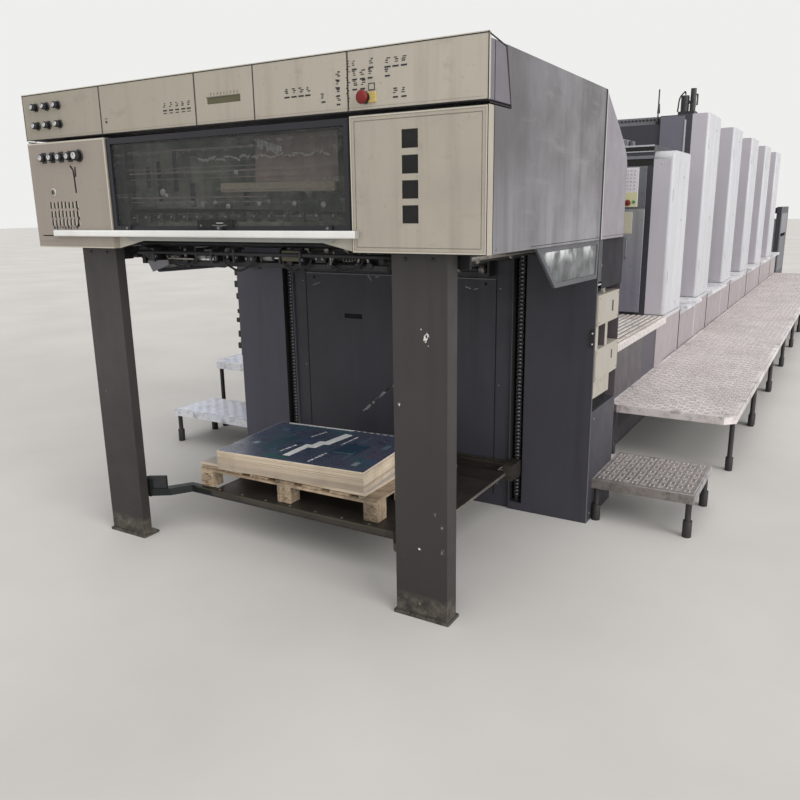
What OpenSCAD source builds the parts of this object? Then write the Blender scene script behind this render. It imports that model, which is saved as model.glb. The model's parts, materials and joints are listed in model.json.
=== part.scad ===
// Sheet-fed offset printing press: raised delivery, coating unit, five printing units and feeder.
// X runs across the press, Y from the delivery to the feeder, Z up from the floor.
// Places along the press are measured from the front of the delivery hood, then shifted so that
// the origin lies on the floor under the middle of the press.

/* [Delivery hood] */
// Width of the hood
hood_w = 2184; // [1800:1:2600]
// Height of the hood's lower edge
hood_low = 1358; // [1250:1:1500]
// Height of the side panels' top edge
hood_top = 1977; // [1900:1:2200]
// Length of the side panels, from the front to the rear cover
side_len = 1204; // [1000:1:1500]
// Thickness of the hood's panels
panel_t = 30; // [15:1:40]
// Depth of the two front panels
front_t = 40; // [34:1:60]
// Height of the control strip
strip_h = 185; // [150:1:230]
// Depth of the control strip at its top
strip_top_d = 126; // [90:1:160]
// Depth of the control strip at its bottom
strip_low_d = 168; // [140:1:200]
// How far the strip's fascia stands above the side panels
fascia_rise = 17; // [0:1:40]
// Shadow gap between the strip and the panels below it
strip_gap = 13; // [8:1:25]
// Gap at panel seams
seam = 4; // [2:0.5:8]
// Height of the hood's two lower rails
rail_h = 30; // [20:1:60]
// Length of the bevelled rear cover
rear_len = 382; // [300:1:600]
// Thickness of the fascia panels
fascia_t = 14; // [8:1:20]
// Length of a hanging side window along its top
window_len = 756; // [600:1:900]
// Length of a hanging side window along its bottom
window_low_len = 544; // [300:1:560]
// How far the side windows hang below the hood
window_drop = 165; // [120:1:240]
// Thickness of a side window's frame
window_t = 12; // [8:1:18]
// Width of a side window's frame members
window_rim = 20; // [12:1:30]
// Thickness of a side window's pane
pane_t = 4; // [3:0.5:6]

/* [Window guard] */
// Width of the opening between the front panels
guard_w = 1194; // [900:1:1300]
// Height of the guard
guard_h = 365; // [250:1:380]
// Thickness of the guard's frame
guard_t = 20; // [12:1:26]
// Width of the frame's members
guard_rim = 22; // [14:1:40]
// Gap between the guard and its neighbours
guard_gap = 5; // [5:0.5:10]
// Radius of the hinge pins
pin_r = 6; // [4:0.5:8]
// Radial play of the hinge pins
pin_play = 0.05; // [0.02:0.01:0.1]
// Length of a pin inside its panel
pin_in = 18; // [10:1:30]
// Length of the handle bar
handle_len = 1585; // [1200:1:1600]
// Distance from the middle of the press to the handle's right end
handle_right = 630; // [560:1:640]
// Height of the handle bar's section
handle_h = 18; // [12:1:30]
// Depth of the handle bar's section
handle_d = 19; // [12:1:30]

/* [Delivery mechanism] */
// Radius of the cross shafts
shaft_r = 12; // [8:1:14]
// Half the width between the plates of the sheet brake
brake_x = 600; // [560:1:610]
// Distance from the hood's front to the sheet brake
brake_y = 300; // [280:1:380]
// How far the sheet brake hangs below the hood's lower edge
brake_drop = 58; // [40:1:80]
// Length of the sheet brake along the press
brake_len = 200; // [160:1:260]
// Thickness of the sheet brake's plates
brake_t = 20; // [10:1:20]
// Radius of the sheet brake's suction wheels
wheel_r = 24; // [18:1:30]
// Width of a suction wheel
wheel_w = 44; // [30:1:70]
// Distance between suction wheels
wheel_gap = 190; // [160:1:195]
// Length of the gripper chains' tracks
track_len = 790; // [600:1:850]
// Thickness of the gripper chains' tracks
track_t = 24; // [16:1:30]
// Height of the gripper chains' tracks
track_h = 70; // [50:1:100]
// How far the fan bar lies below the hood's top
fan_drop = 200; // [160:1:240]
// Distance from the hood's front to the fan bar
fan_y = 420; // [340:1:600]
// Distance between fans
fan_gap = 230; // [180:1:260]
// Radius of a fan's ring
fan_r = 80; // [60:1:86]
// Height of a fan's ring
fan_h = 60; // [40:1:80]
// Height and depth of the fan bar's section
fan_bar_h = 40; // [30:1:50]

/* [Front columns] */
// Width of a column
col_w = 216; // [160:1:260]
// Depth of a column
col_d = 75; // [72:1:120]
// Depth of a column's inner side
col_inner_d = 48; // [40:1:50]
// Distance from the hood's front to a column
col_y = 85; // [70:1:120]
// Distance from the middle of the press to a column's middle
col_x = 807; // [770:1:840]
// Sheet thickness of a column
col_wall = 6; // [4:0.5:10]
// Width of the chain slot in a column's back
col_slot = 80; // [74:1:100]
// Thickness of a column's foot plate
foot_t = 12; // [8:1:20]

/* [Rear pillars and wall] */
// Distance from the end of the side panels to the pillars
pillar_set = 46; // [26:1:96]
// Depth of a pillar along the press
pillar_d = 400; // [360:1:480]
// Distance from the middle of the press to a pillar's inner side
pillar_in = 665; // [640:1:680]
// Distance from the middle of the press to a pillar's outer side
pillar_out = 1078; // [1070:1:1091]
// Width of a pillar's chain slot
slot_w = 66; // [62:1:74]
// Depth of a pillar's chain slot
slot_d = 95; // [85:1:140]
// Solid floor below a pillar's chain slot
slot_floor = 40; // [20:1:80]
// Thickness of the back wall
wall_t = 30; // [20:1:60]
// How far the back wall stands behind the pillars' faces
wall_back = 12; // [4:1:40]
// Distance from the middle of the press to the back wall's seams
wall_seam_x = 580; // [500:1:640]
// Height of the back wall's panels
wall_panel_top = 1166; // [1100:1:1250]
// Depth of the recess that holds the control boxes
box_recess = 120; // [80:1:200]
// Distance from the pillar's face to its recess
box_set = 6; // [6:1:40]
// Height of the recess's floor
recess_low = 560; // [400:1:600]
// Height of the recess's ceiling
recess_high = 1168; // [1150:1:1300]
// Height of the upper control box
box_h = 140; // [120:1:160]
// Height of the open zone below the upper control box
box_gap = 113; // [60:1:120]
// Height of the middle control box
mid_box_h = 148; // [120:1:150]
// Height of the lower control box
low_box_h = 90; // [60:1:100]

/* [Lift chains] */
// Pitch of the lift chains
chain_pitch = 19.05; // [19.05:0.05:50.8]
// Height of a link plate
plate_h = 17; // [14:1:18]
// Thickness of a link plate
plate_t = 3.5; // [2:0.5:5]
// Width between the inner link plates
chain_in = 16; // [10:1:22]
// Radius of the chain's rollers
roller_r = 6; // [5:0.5:7]

/* [Pile and its lift] */
// Height of the lift's beams
lift_t = 35; // [20:1:60]
// Thickness of the lifting plate
lift_skin = 10; // [6:1:14]
// Depth of the lift's front beam
lift_beam = 32; // [24:1:50]
// How far the front beam's ends stand before its middle
lift_jog = 87; // [60:1:100]
// Height of the rail along the lifting plate's rear
lift_rail_h = 30; // [15:1:50]
// Height of the lifting plate's underside as stored
lift_z = 190; // [160:1:400]
// Distance from the middle of the press to the lifting plate's left edge
lift_left = 425; // [400:1:500]
// Distance from the middle of the press to the lifting plate's right edge
lift_right = 692; // [600:1:700]
// Half the length of the front beam's straight middle
lift_straight = 565; // [500:1:580]
// Distance from the hood's front to the lifting plate
lift_y = 283; // [270:1:300]
// Gap between the lifting plate and the back wall
lift_gap = 25; // [10:1:60]
// Gap between the lift's hooks and the chains
hook_gap = 0.3; // [0.2:0.1:1]
// Width of the lift's hooks
hook_w = 50; // [30:1:54]
// Height of the lift's hooks
hook_h = 80; // [50:1:100]
// Length of the sheets across the press
sheet_l = 770; // [500:1:1000]
// Length of the sheets along the press
sheet_b = 538; // [350:1:720]
// Height of the lot of larger sheets below
base_h = 12; // [5:1:30]
// Length of the larger sheets across the press
base_l = 932; // [800:1:1000]
// Length of the larger sheets along the press
base_b = 550; // [350:1:720]
// Height of the pile of sheets
pile_h = 102; // [20:1:400]
// Height of the pallet
pallet_h = 101; // [80:1:160]
// Length of the pallet across the press
pallet_l = 990; // [900:1:1060]
// Length of the pallet along the press
pallet_b = 585; // [500:1:700]
// Distance from the middle of the press to the pallet's middle
pallet_x = 31; // [0:1:40]
// Turn of the pallet on the lift
pallet_turn = 1; // [-2:0.1:2]
// Turn of the pile on the lift
pile_turn = 5; // [-8:0.1:8]
// Distance from the hood's front to the pile's middle
pile_y = 582; // [560:1:640]
// Distance from the hood's front to the pallet's middle
pallet_y = 606; // [590:1:640]

/* [Press line] */
// Distance from the hood's front to the coating unit
coater_y = 3820; // [3000:1:4500]
// Length of the coating unit
coater_len = 1330; // [1200:1:1600]
// Height of the coating unit's body
coater_h = 1935; // [1700:1:2000]
// How far the delivery extension's top lies below the coating unit's
ext_drop = 155; // [60:1:200]
// Height of the coating unit's end covers
coater_tower_h = 1890; // [1500:1:2100]
// Number of printing units
unit_count = 5; // [2:1:6]
// Length of a printing unit
unit_len = 1525; // [1350:1:1700]
// Height of a printing unit's body
unit_h = 2218; // [1900:1:2300]
// Height of a printing unit's end covers
tower_h = 2270; // [1950:1:2400]
// Length of an end cover along the press
tower_len = 620; // [450:1:700]
// Thickness of an end cover
tower_t = 145; // [80:1:200]
// Half the width of a unit's body
body_x = 705; // [640:1:760]
// Height of the end covers' lower edge
tower_low = 690; // [600:1:760]
// Rounding of the end covers' outer edges
tower_round = 24; // [8:1:50]
// Rounding of the coating unit's end covers at the top
coater_round = 60; // [20:1:100]
// Width of a unit's side frames
frame_w = 75; // [50:1:120]
// How far the guards between the side frames are set back
guard_set = 14; // [6:1:30]
// Height of the drive boxes on top of a unit's body
drive_h = 47; // [20:1:50]
// Gap between lower covers
cover_seam = 6; // [3:1:12]
// Clearance of the lower covers above the floor
cover_low = 20; // [5:1:80]
// Thickness of a footboard
board_t = 25; // [15:1:40]
// How far a footboard stands out from the covers
board_out = 55; // [20:1:120]

/* [Galleries and steps] */
// Height of the right gallery
gallery_right_z = 334; // [250:1:500]
// Height of the left gallery
gallery_left_z = 484; // [250:1:600]
// Distance from the middle of the press to the right gallery's edge
gallery_right_x = 1587; // [1400:1:1800]
// Distance from the middle of the press to the left gallery's edge
gallery_left_x = 1754; // [1400:1:1900]
// Distance from the middle of the press to the galleries' inner edges
gallery_in = 860; // [850:1:900]
// Distance from the hood's front to the right gallery
gallery_right_y = 2320; // [1900:1:3000]
// Distance from the left pillar's back to the left gallery
gallery_left_set = 2; // [2:1:400]
// Thickness of a tread
tread_t = 45; // [30:1:60]
// Length of a gallery section
section_len = 1160; // [900:1:1400]
// Gap between gallery sections, and between a step and its pillar
section_gap = 0.3; // [0.2:0.1:1]
// Radius of a leg
leg_r = 14; // [10:1:24]
// Radius of a leg's rubber foot
leg_foot_r = 21; // [16:1:32]
// Height of a leg's rubber foot
leg_foot_h = 80; // [20:1:120]
// Height of the upper platforms
platform_z = 677; // [600:1:800]
// Distance from the right pillar's face to the right step
step_right_set = 56; // [0:1:60]
// Length of the right step along the press
step_right_len = 484; // [300:1:500]
// Width of the right step
step_right_w = 475; // [300:1:600]
// Height of the right step
step_right_z = 213; // [150:1:260]
// Length of the left step along the press
step_left_len = 360; // [300:1:450]
// Height of the left step
step_left_z = 223; // [150:1:300]

/* [Feeder] */
// Length of the feed board
feed_len = 1050; // [800:1:1600]
// Length of the feeder
feeder_len = 1500; // [1200:1:2000]
// Height of the feeder's side walls
feeder_h = 1450; // [1200:1:1700]
// Thickness of the feeder's side walls
feeder_wall = 80; // [50:1:120]
// Width of the suction head
head_w = 682; // [500:1:900]
// Depth of the suction head
head_d = 220; // [180:1:300]
// Distance from the feeder's front beam to the suction head
head_set = 300; // [200:1:500]
// Distance between suction cups
cup_gap = 160; // [120:1:200]
// Length of the suction cups' stems
cup_h = 100; // [60:1:140]
// Height of the feed board at the feeder
feed_high = 1180; // [1000:1:1300]
// Height of the feed board at the printing unit
feed_low = 1000; // [900:1:1015]

/* [Hidden] */
$fn = 48;

fascia_col = [0.66, 0.64, 0.58];
side_col = [0.52, 0.52, 0.54];
dark_col = [0.26, 0.26, 0.28];
column_col = [0.29, 0.28, 0.27];
tower_col = [0.74, 0.74, 0.74];
tread_col = [0.70, 0.70, 0.69];
steel_col = [0.55, 0.55, 0.55];

pillar_y = side_len + pillar_set;
units_y = coater_y + coater_len;
feed_y = units_y + unit_count * unit_len;
feeder_y = feed_y + feed_len;
press_len = feeder_y + feeder_len;
half_w = hood_w / 2;
fascia_top = hood_top + fascia_rise;
strip_low = fascia_top - strip_h;
panel_top = strip_low - strip_gap;
rear_end = side_len + rear_len;
guard_top = panel_top - guard_gap;
guard_low = guard_top - guard_h;
guard_y = 4;
pin_y = guard_y + guard_t / 2;
pin_z = guard_top - guard_t / 2 - 2;
rail_in = pillar_in + 25;
chain_x = pillar_in + 7 + slot_w / 2;
chain_y = pillar_y + slot_d - 65;
col_chain_y = col_y + col_d / 2 + 8;
lift_top = lift_z + lift_t;
pile_z = lift_top + pallet_h;
tower_x = body_x + tower_t;
ext_x = 480;
ext_y = pillar_y + pillar_d;
platform_low = platform_z - tread_t;
gallery_end = feed_y - 40;
gallery_left_y = ext_y + gallery_left_set;
step_right_y = pillar_y + step_right_set;
unit_top = unit_h + drive_h;
window_x = half_w - 20;

// Moves a place measured from the hood's front into the press's own frame
module placed() {
    translate([0, -press_len / 2, 0]) children();
}

// Draws its children on both sides of the press
module both_sides() {
    children();
    mirror([1, 0, 0]) children();
}

// Extrudes an outline drawn in Y and Z across the press, from x0 to x1
module across(x0, x1) {
    translate([x0, 0, 0]) rotate([90, 0, 90]) linear_extrude(x1 - x0) children();
}

// A box from its low corner to its high corner
module block(low, high) {
    translate(low) cube(high - low);
}

// A rod along X
module rod_x(x0, x1, y, z, r) {
    translate([x0, y, z]) rotate([0, 90, 0]) cylinder(r = r, h = x1 - x0);
}

// A disc or knob that stands out of the hood's front
module front_disc(x, z, y0, y1, r) {
    translate([x, y1, z]) rotate([90, 0, 0]) cylinder(r = r, h = y1 - y0);
}

// Where two lines meet, each given by a point and a direction
function meet(p, d, q, e) =
    let (k = ((q[0] - p[0]) * e[1] - (q[1] - p[1]) * e[0]) / (d[0] * e[1] - d[1] * e[0])) p + k * d;

// The unit direction from one point to another, and the same turned to its left
function way(a, b) = (b - a) / norm(b - a);
function left(d) = [-d[1], d[0]];

// An outline, counter-clockwise, with every side moved inwards by w
function inset(pts, w) = [for (i = [0:len(pts) - 1])
    let (a = pts[(i + len(pts) - 1) % len(pts)],
        b = pts[i],
        c = pts[(i + 1) % len(pts)])
    meet(b + w * left(way(a, b)), way(a, b), b + w * left(way(b, c)), way(b, c))];

// Outline of the hood's side panel, in Y and Z
side_outline = [[front_t + 2, hood_low], [side_len, hood_low], [side_len, hood_top],
    [strip_top_d + seam, hood_top], [strip_low_d + seam + 2, panel_top + 1], [front_t + 2, panel_top + 1]];

// Outline of the bevelled rear cover, in Y and Z
rear_outline = [[side_len + 2, hood_low], [rear_end, hood_low], [rear_end, hood_low + 332],
    [rear_end - 13, hood_low + 367], [rear_end - 65, hood_low + 419], [rear_end - 171, hood_low + 490],
    [side_len + 2, hood_top]];

// Outline of the hanging side window, in Y and Z
window_outline = [[side_len - window_len, hood_low], [side_len - window_low_len, hood_low - window_drop + 4],
    [side_len + 2, hood_low - window_drop - 4], [side_len + 16, hood_low]];

// A front column is a folded channel with a shorter inner side and a slot in its back for the chain
module front_column() {
    color(column_col) placed() {
        difference() {
            block([col_x - col_w / 2, col_y, 0], [col_x + col_w / 2, col_y + col_d, hood_low]);
            block([col_x - col_w / 2 + col_wall, col_y + col_wall, foot_t],
                [col_x + col_w / 2 - col_wall, col_y + col_d - col_wall, hood_low + 1]);
            block([col_x - col_slot / 2, col_y + col_d / 2, foot_t],
                [col_x + col_slot / 2, col_y + col_d + 1, hood_low + 1]);
            block([col_x - col_w / 2 - 1, col_y + col_inner_d, foot_t],
                [col_x, col_y + col_d + 1, hood_low + 1]);
        }
        difference() {
            block([col_x - col_w / 2 - 9, col_y - 9, 0], [col_x + col_w / 2 + 9, col_y + col_d + 9, foot_t]);
            block([col_x - col_w / 2 + 1, col_y + 1, -1],
                [col_x + col_w / 2 - 1, col_y + col_d - 1, foot_t + 1]);
        }
    }
}

module front_column_right() front_column();
module front_column_left() mirror([1, 0, 0]) front_column();

// Rails, posts and beams inside the hood, which stand on the columns and pillars
module hood_frame() {
    beam_top = hood_top - panel_t;
    strip_slope = (strip_low_d - strip_top_d) / (hood_top - strip_low);
    beam = [[strip_low_d, strip_low], [strip_low_d + 62, strip_low], [strip_low_d + 62, beam_top],
        [strip_low_d - strip_slope * (beam_top - strip_low), beam_top]];
    color(dark_col) placed() {
        both_sides() {
            block([rail_in, front_t, hood_low], [half_w - panel_t, rear_end - panel_t, hood_low + rail_h]);
            block([half_w - panel_t - 60, strip_low_d + 2, hood_low],
                [half_w - panel_t, strip_low_d + 62, strip_low + 1]);
        }
        across(-half_w + panel_t, half_w - panel_t) polygon(beam);
        block([-half_w + panel_t, side_len - 60, hood_low], [half_w - panel_t, side_len, hood_low + 70]);
    }
}

module hood_side() {
    color(side_col) placed() across(half_w - panel_t, half_w) polygon(side_outline);
}

module hood_side_right() hood_side();
module hood_side_left() mirror([1, 0, 0]) hood_side();

// The roof lies between the side panels and has two lift-off lids with grip recesses
module hood_roof() {
    roof_y = strip_low_d - 20;
    pitch = (side_len - roof_y) / 2;
    lid_x = half_w - 160;
    lid_l = pitch - 80;
    low = hood_top - 6;
    color(side_col) placed() difference() {
        block([-half_w + panel_t, roof_y, hood_top - panel_t], [half_w - panel_t, side_len, hood_top]);
        for (y = [roof_y + 40, roof_y + pitch + 40]) {
            block([-lid_x, y, low], [-lid_x + seam, y + lid_l, hood_top + 1]);
            block([lid_x - seam, y, low], [lid_x, y + lid_l, hood_top + 1]);
            block([-lid_x, y, low], [lid_x, y + seam, hood_top + 1]);
            block([-lid_x, y + lid_l - seam, low], [lid_x, y + lid_l, hood_top + 1]);
            block([-60, y + lid_l - 70, low - 6], [60, y + lid_l - 40, hood_top + 1]);
        }
    }
}

// The bevelled rear cover is a shell, open at the front and below
module hood_rear_cover() {
    inner = inset(rear_outline, panel_t);
    color(tower_col) placed() difference() {
        across(-half_w, half_w) polygon(rear_outline);
        across(-half_w + panel_t, half_w - panel_t)
            polygon([[side_len, hood_low - 1], [inner[1][0], hood_low - 1],
            inner[2], inner[3], inner[4], inner[5], [side_len, hood_top - panel_t]]);
    }
}

// The strip's fascia has five sections and a grip recess
module control_strip() {
    color(fascia_col) placed() difference() {
        block([-half_w, 0, strip_low], [half_w, fascia_t, fascia_top]);
        for (x = [-599, -78, 199, 593])
            block([x - seam / 2, -1, strip_low - 1], [x + seam / 2, 5, fascia_top + 1]);
        block([-24, -1, strip_low + 68], [139, 6, strip_low + 92]);
    }
}

// The console behind the fascia, which carries it
module strip_console() {
    outline = [[fascia_t, strip_low], [strip_low_d, strip_low], [strip_top_d, hood_top],
        [fascia_t, hood_top]];
    color(side_col) placed() across(-half_w, half_w) polygon(outline);
}

// The left front panel has three rows of louvre slots and the bore of one hinge pin
module front_panel_left() {
    louvre_x = 983;
    louvre_pitch = 24.5;
    color(fascia_col) placed() difference() {
        block([-half_w, 0, hood_low], [-guard_w / 2, front_t, panel_top]);
        for (row = [[86, 100], [112, 154], [164, 188]], k = [0:7])
            block([k * louvre_pitch - louvre_x, -1, hood_low + row[0]],
                [k * louvre_pitch - louvre_x + 7, 14, hood_low + row[1]]);
        rod_x(-guard_w / 2 - pin_in - 2, -guard_w / 2 + 1, pin_y, pin_z, pin_r + pin_play);
    }
}

// The right front panel has a rim, four square windows and the bore of the other hinge pin
module front_panel_right() {
    rim = 18;
    x0 = guard_w / 2;
    color(fascia_col) placed() difference() {
        block([x0, 0, hood_low], [half_w, front_t, panel_top]);
        difference() {
            block([x0 + rim, -1, hood_low + rim], [half_w - rim, 3, panel_top - rim]);
            block([x0 + rim + 3, -2, hood_low + rim + 3], [half_w - rim - 3, 4, panel_top - rim - 3]);
        }
        for (k = [0:3])
            block([x0 + 197, -1, hood_low + 97 + k * 77], [x0 + 257, 6, hood_low + 154 + k * 77]);
        rod_x(x0 - 1, x0 + pin_in + 2, pin_y, pin_z, pin_r + pin_play);
    }
}

// The guard swings on two pins at its upper corners
module guard_frame() {
    x1 = guard_w / 2 - guard_gap;
    color(dark_col) placed() {
        difference() {
            block([-x1, guard_y, guard_low], [x1, guard_y + guard_t, guard_top]);
            block([-x1 + guard_rim, guard_y - 1, guard_low + guard_rim],
                [x1 - guard_rim, guard_y + guard_t + 1, guard_top - guard_rim]);
        }
        both_sides() rod_x(x1 - 2, guard_w / 2 + pin_in, pin_y, pin_z, pin_r);
    }
}

module guard_glass() {
    x1 = guard_w / 2 - guard_gap - guard_rim;
    color([0.20, 0.26, 0.25, 0.8]) placed()
        block([-x1, pin_y - 3, guard_low + guard_rim], [x1, pin_y + 3, guard_top - guard_rim]);
}

// The long handle bar hangs in front of the panels on three stand-offs
module guard_handle() {
    bar_y = -6 - handle_d;
    color([0.80, 0.80, 0.78]) placed() {
        block([handle_right - handle_len, bar_y, guard_low - 2 - handle_h],
            [handle_right, -6, guard_low - 2]);
        for (x = [-0.42, 0, 0.42] * guard_w)
            block([x - 15, bar_y + 4, guard_low - 3], [x + 15, guard_y, guard_low + guard_rim - 4]);
    }
}

module side_window_frames() {
    color(steel_col) placed() both_sides() difference() {
        across(window_x, window_x + window_t) polygon(window_outline);
        across(window_x - 1, window_x + window_t + 1) polygon(inset(window_outline, window_rim));
    }
}

module side_window_panes() {
    color([0.75, 0.78, 0.78, 0.5]) placed() both_sides()
        across(window_x + (window_t - pane_t) / 2, window_x + (window_t + pane_t) / 2)
        polygon(inset(window_outline, window_rim));
}

// A pillar carries the hood and has an open slot for its lift chain
module pillar_block() {
    difference() {
        block([pillar_in, pillar_y, 0], [pillar_out, pillar_y + pillar_d, hood_low]);
        block([chain_x - slot_w / 2, pillar_y - 1, slot_floor],
            [chain_x + slot_w / 2, pillar_y + slot_d, hood_low + 1]);
    }
}

module rear_pillar_left() {
    color(dark_col) placed() mirror([1, 0, 0]) pillar_block();
}

// The right pillar has a recess in its outer side for the control boxes
module rear_pillar_right() {
    color(dark_col) placed() difference() {
        pillar_block();
        block([pillar_out - box_recess, pillar_y + box_set, recess_low],
            [pillar_out + 1, ext_y + 1, recess_high]);
    }
}

// Beige control boxes stacked in the right pillar's recess, the upper two joined by posts
module control_boxes() {
    x0 = pillar_out - box_recess;
    y0 = pillar_y + box_set;
    face = pillar_out + 8;
    top = recess_high - 60;
    gap_top = top - box_h;
    mid_top = gap_top - box_gap;
    low_top = mid_top - mid_box_h;
    slot_y = y0 + 226;
    taper = [[y0, low_top - low_box_h], [y0 + 296, low_top - low_box_h - 8], [y0 + 296, low_top + 2],
        [y0, low_top + 2]];
    color([0.75, 0.73, 0.64]) placed() {
        difference() {
            block([x0, y0, gap_top], [face, y0 + 340, top]);
            block([face - 12, slot_y, top - 94], [face + 1, slot_y + 14, top - 44]);
        }
        difference() {
            block([x0, y0, low_top], [face - 2, y0 + 372, mid_top]);
            block([face - 14, slot_y + 30, mid_top - 76], [face, slot_y + 42, mid_top - 36]);
        }
        for (y = [y0 + 8, y0 + 160])
            block([x0, y, mid_top - 1], [face - 10, y + 38, gap_top + 1]);
        across(x0, face - 18) polygon(taper);
        block([x0, y0 + 60, recess_low], [face - 60, y0 + 250, low_top - low_box_h + 1]);
        for (y = [y0 + 30, y0 + 150]) block([x0, y, top - 1], [face - 24, y + 24, top + 46]);
        block([x0, y0 + 2, top + 45], [face - 10, y0 + 280, top + 51]);
    }
}

// The wall between the pillars: panels with two upright seams and a grip recess, and a set-back
// plate above them
module back_wall() {
    y0 = pillar_y + wall_back;
    color(dark_col) placed() difference() {
        block([-pillar_in, y0, 0], [pillar_in, y0 + wall_t, hood_low]);
        for (x = [-wall_seam_x, wall_seam_x])
            block([x - seam / 2, y0 - 1, 60], [x + seam / 2, y0 + 5, hood_low + 1]);
        block([-wall_seam_x, y0 - 1, wall_panel_top], [wall_seam_x, y0 + 8, hood_low + 1]);
        block([-325, y0 - 1, 924], [-208, y0 + 9, 949]);
    }
}

// One link plate, with its two round ends at the pins
module link_outline() {
    circle(d = plate_h);
    translate([0, -plate_h * 0.36]) square([chain_pitch, plate_h * 0.72]);
    translate([chain_pitch, 0]) circle(d = plate_h);
}

// An upright roller chain of whole links between two anchor blocks, centred on X = 0, Y = 0
module lift_chain(z0, z1) {
    links = 2 * floor((z1 - z0 - 60) / chain_pitch / 2);
    start = (z0 + z1 - links * chain_pitch) / 2;
    both_sides() for (k = [0:links - 1]) {
        x = chain_in / 2 + (k % 2) * plate_t;
        translate([x, 0, start + k * chain_pitch]) rotate([0, -90, 0]) translate([0, 0, -plate_t])
            linear_extrude(plate_t) link_outline();
    }
    for (k = [0:links])
        rod_x(-chain_in / 2 - 2 * plate_t, chain_in / 2 + 2 * plate_t, 0, start + k * chain_pitch, roller_r);
    for (z = [[z0, start], [start + links * chain_pitch, z1]])
        block([-chain_in / 2, -plate_h / 2, z[0]], [chain_in / 2, plate_h / 2, z[1]]);
}

// The four lift chains: two in the columns and two in the pillars
module lift_chains() {
    color([0.35, 0.34, 0.33]) placed() both_sides() {
        translate([col_x, col_chain_y, 0]) lift_chain(foot_t, hood_low);
        translate([chain_x, chain_y, 0]) lift_chain(slot_floor, hood_low);
    }
}

// Cross shafts, the sheet brake with its suction wheels, and the gripper chains' tracks
module delivery_bars() {
    shaft_z = hood_low + rail_h / 2;
    brake_z = hood_low - brake_drop;
    brake_y0 = brake_y - brake_len + 60;
    roll_y = brake_y0 + wheel_r + 6;
    track_x = brake_x + brake_t + 6;
    track_y = brake_y - 150;
    track_z = shaft_z - 8;
    bar_gap = 240;
    color([0.17, 0.17, 0.18]) placed() {
        for (y = [brake_y - 130, brake_y, track_y + track_len - 20])
            rod_x(-rail_in, rail_in, y, shaft_z, shaft_r);
        both_sides() {
            block([brake_x, brake_y0, brake_z - 14], [brake_x + brake_t, brake_y + 60, shaft_z + 10]);
            block([track_x, track_y, track_z], [track_x + track_t, track_y + track_len, track_z + track_h]);
        }
        rod_x(-brake_x - 1, brake_x + 1, roll_y, brake_z, 14);
        rod_x(-brake_x - 1, brake_x + 1, brake_y + 30, brake_z, 10);
        for (k = [-3:3])
            rod_x(k * wheel_gap - wheel_w / 2, k * wheel_gap + wheel_w / 2, roll_y, brake_z, wheel_r);
        for (k = [-2:2])
            block([k * bar_gap - 50, roll_y + wheel_r + 6, brake_z - 8],
                [k * bar_gap + 50, brake_y + 31, brake_z + 30]);
    }
}

// A bar of five fans that press the sheets down onto the pile
module fan_bar() {
    half = fan_bar_h / 2;
    z = hood_top - fan_drop - fan_bar_h;
    hub_r = fan_r / 3;
    color([0.22, 0.22, 0.23]) placed() {
        block([-half_w + panel_t, fan_y - half, z], [half_w - panel_t, fan_y + half, z + fan_bar_h]);
        for (k = [-2:2]) translate([k * fan_gap, fan_y, z - fan_h]) difference() {
            cylinder(r = fan_r, h = fan_h + 2);
            translate([0, 0, -1]) cylinder(r = fan_r - 8, h = fan_h - 10);
        }
        for (k = [-2:2]) translate([k * fan_gap, fan_y, z - fan_h + 20]) {
            cylinder(r = hub_r, h = fan_h - 18);
            for (blade = [0:4]) rotate([0, 0, blade * 72])
                translate([hub_r - 6, -14, 4]) cube([fan_r - 4 - hub_r, 28, 5]);
        }
    }
}

// Selector knobs: two rows of three on the strip, and a row of five on the left front panel
module selector_knobs() {
    row_z = panel_top - 63;
    row_x = 990;
    color([0.12, 0.12, 0.12]) placed() {
        for (x = [-1002, -929, -856], z = [strip_low + 55, strip_low + 129]) {
            front_disc(x, z, -6, 0, 18);
            front_disc(x, z, -29, -5, 13);
        }
        for (k = [0:3]) {
            front_disc(k * 58 - row_x, row_z, -6, 0, 22);
            front_disc(k * 58 - row_x, row_z, -25, -5, 15);
        }
        front_disc(4 * 58 - row_x, row_z, -6, 0, 26);
        front_disc(4 * 58 - row_x, row_z, -33, -5, 19);
    }
}

// Mushroom button, and a small square plate beside it
module emergency_stop() {
    x = 665;
    z = strip_low + 37;
    color([0.72, 0.16, 0.12]) placed() {
        front_disc(x, z, -7, 0, 19);
        front_disc(x, z, -22, -6, 12);
        front_disc(x, z, -34, -21, 22);
        block([x + 8, -4, z - 16], [x + 40, 0, z + 16]);
    }
}

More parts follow.
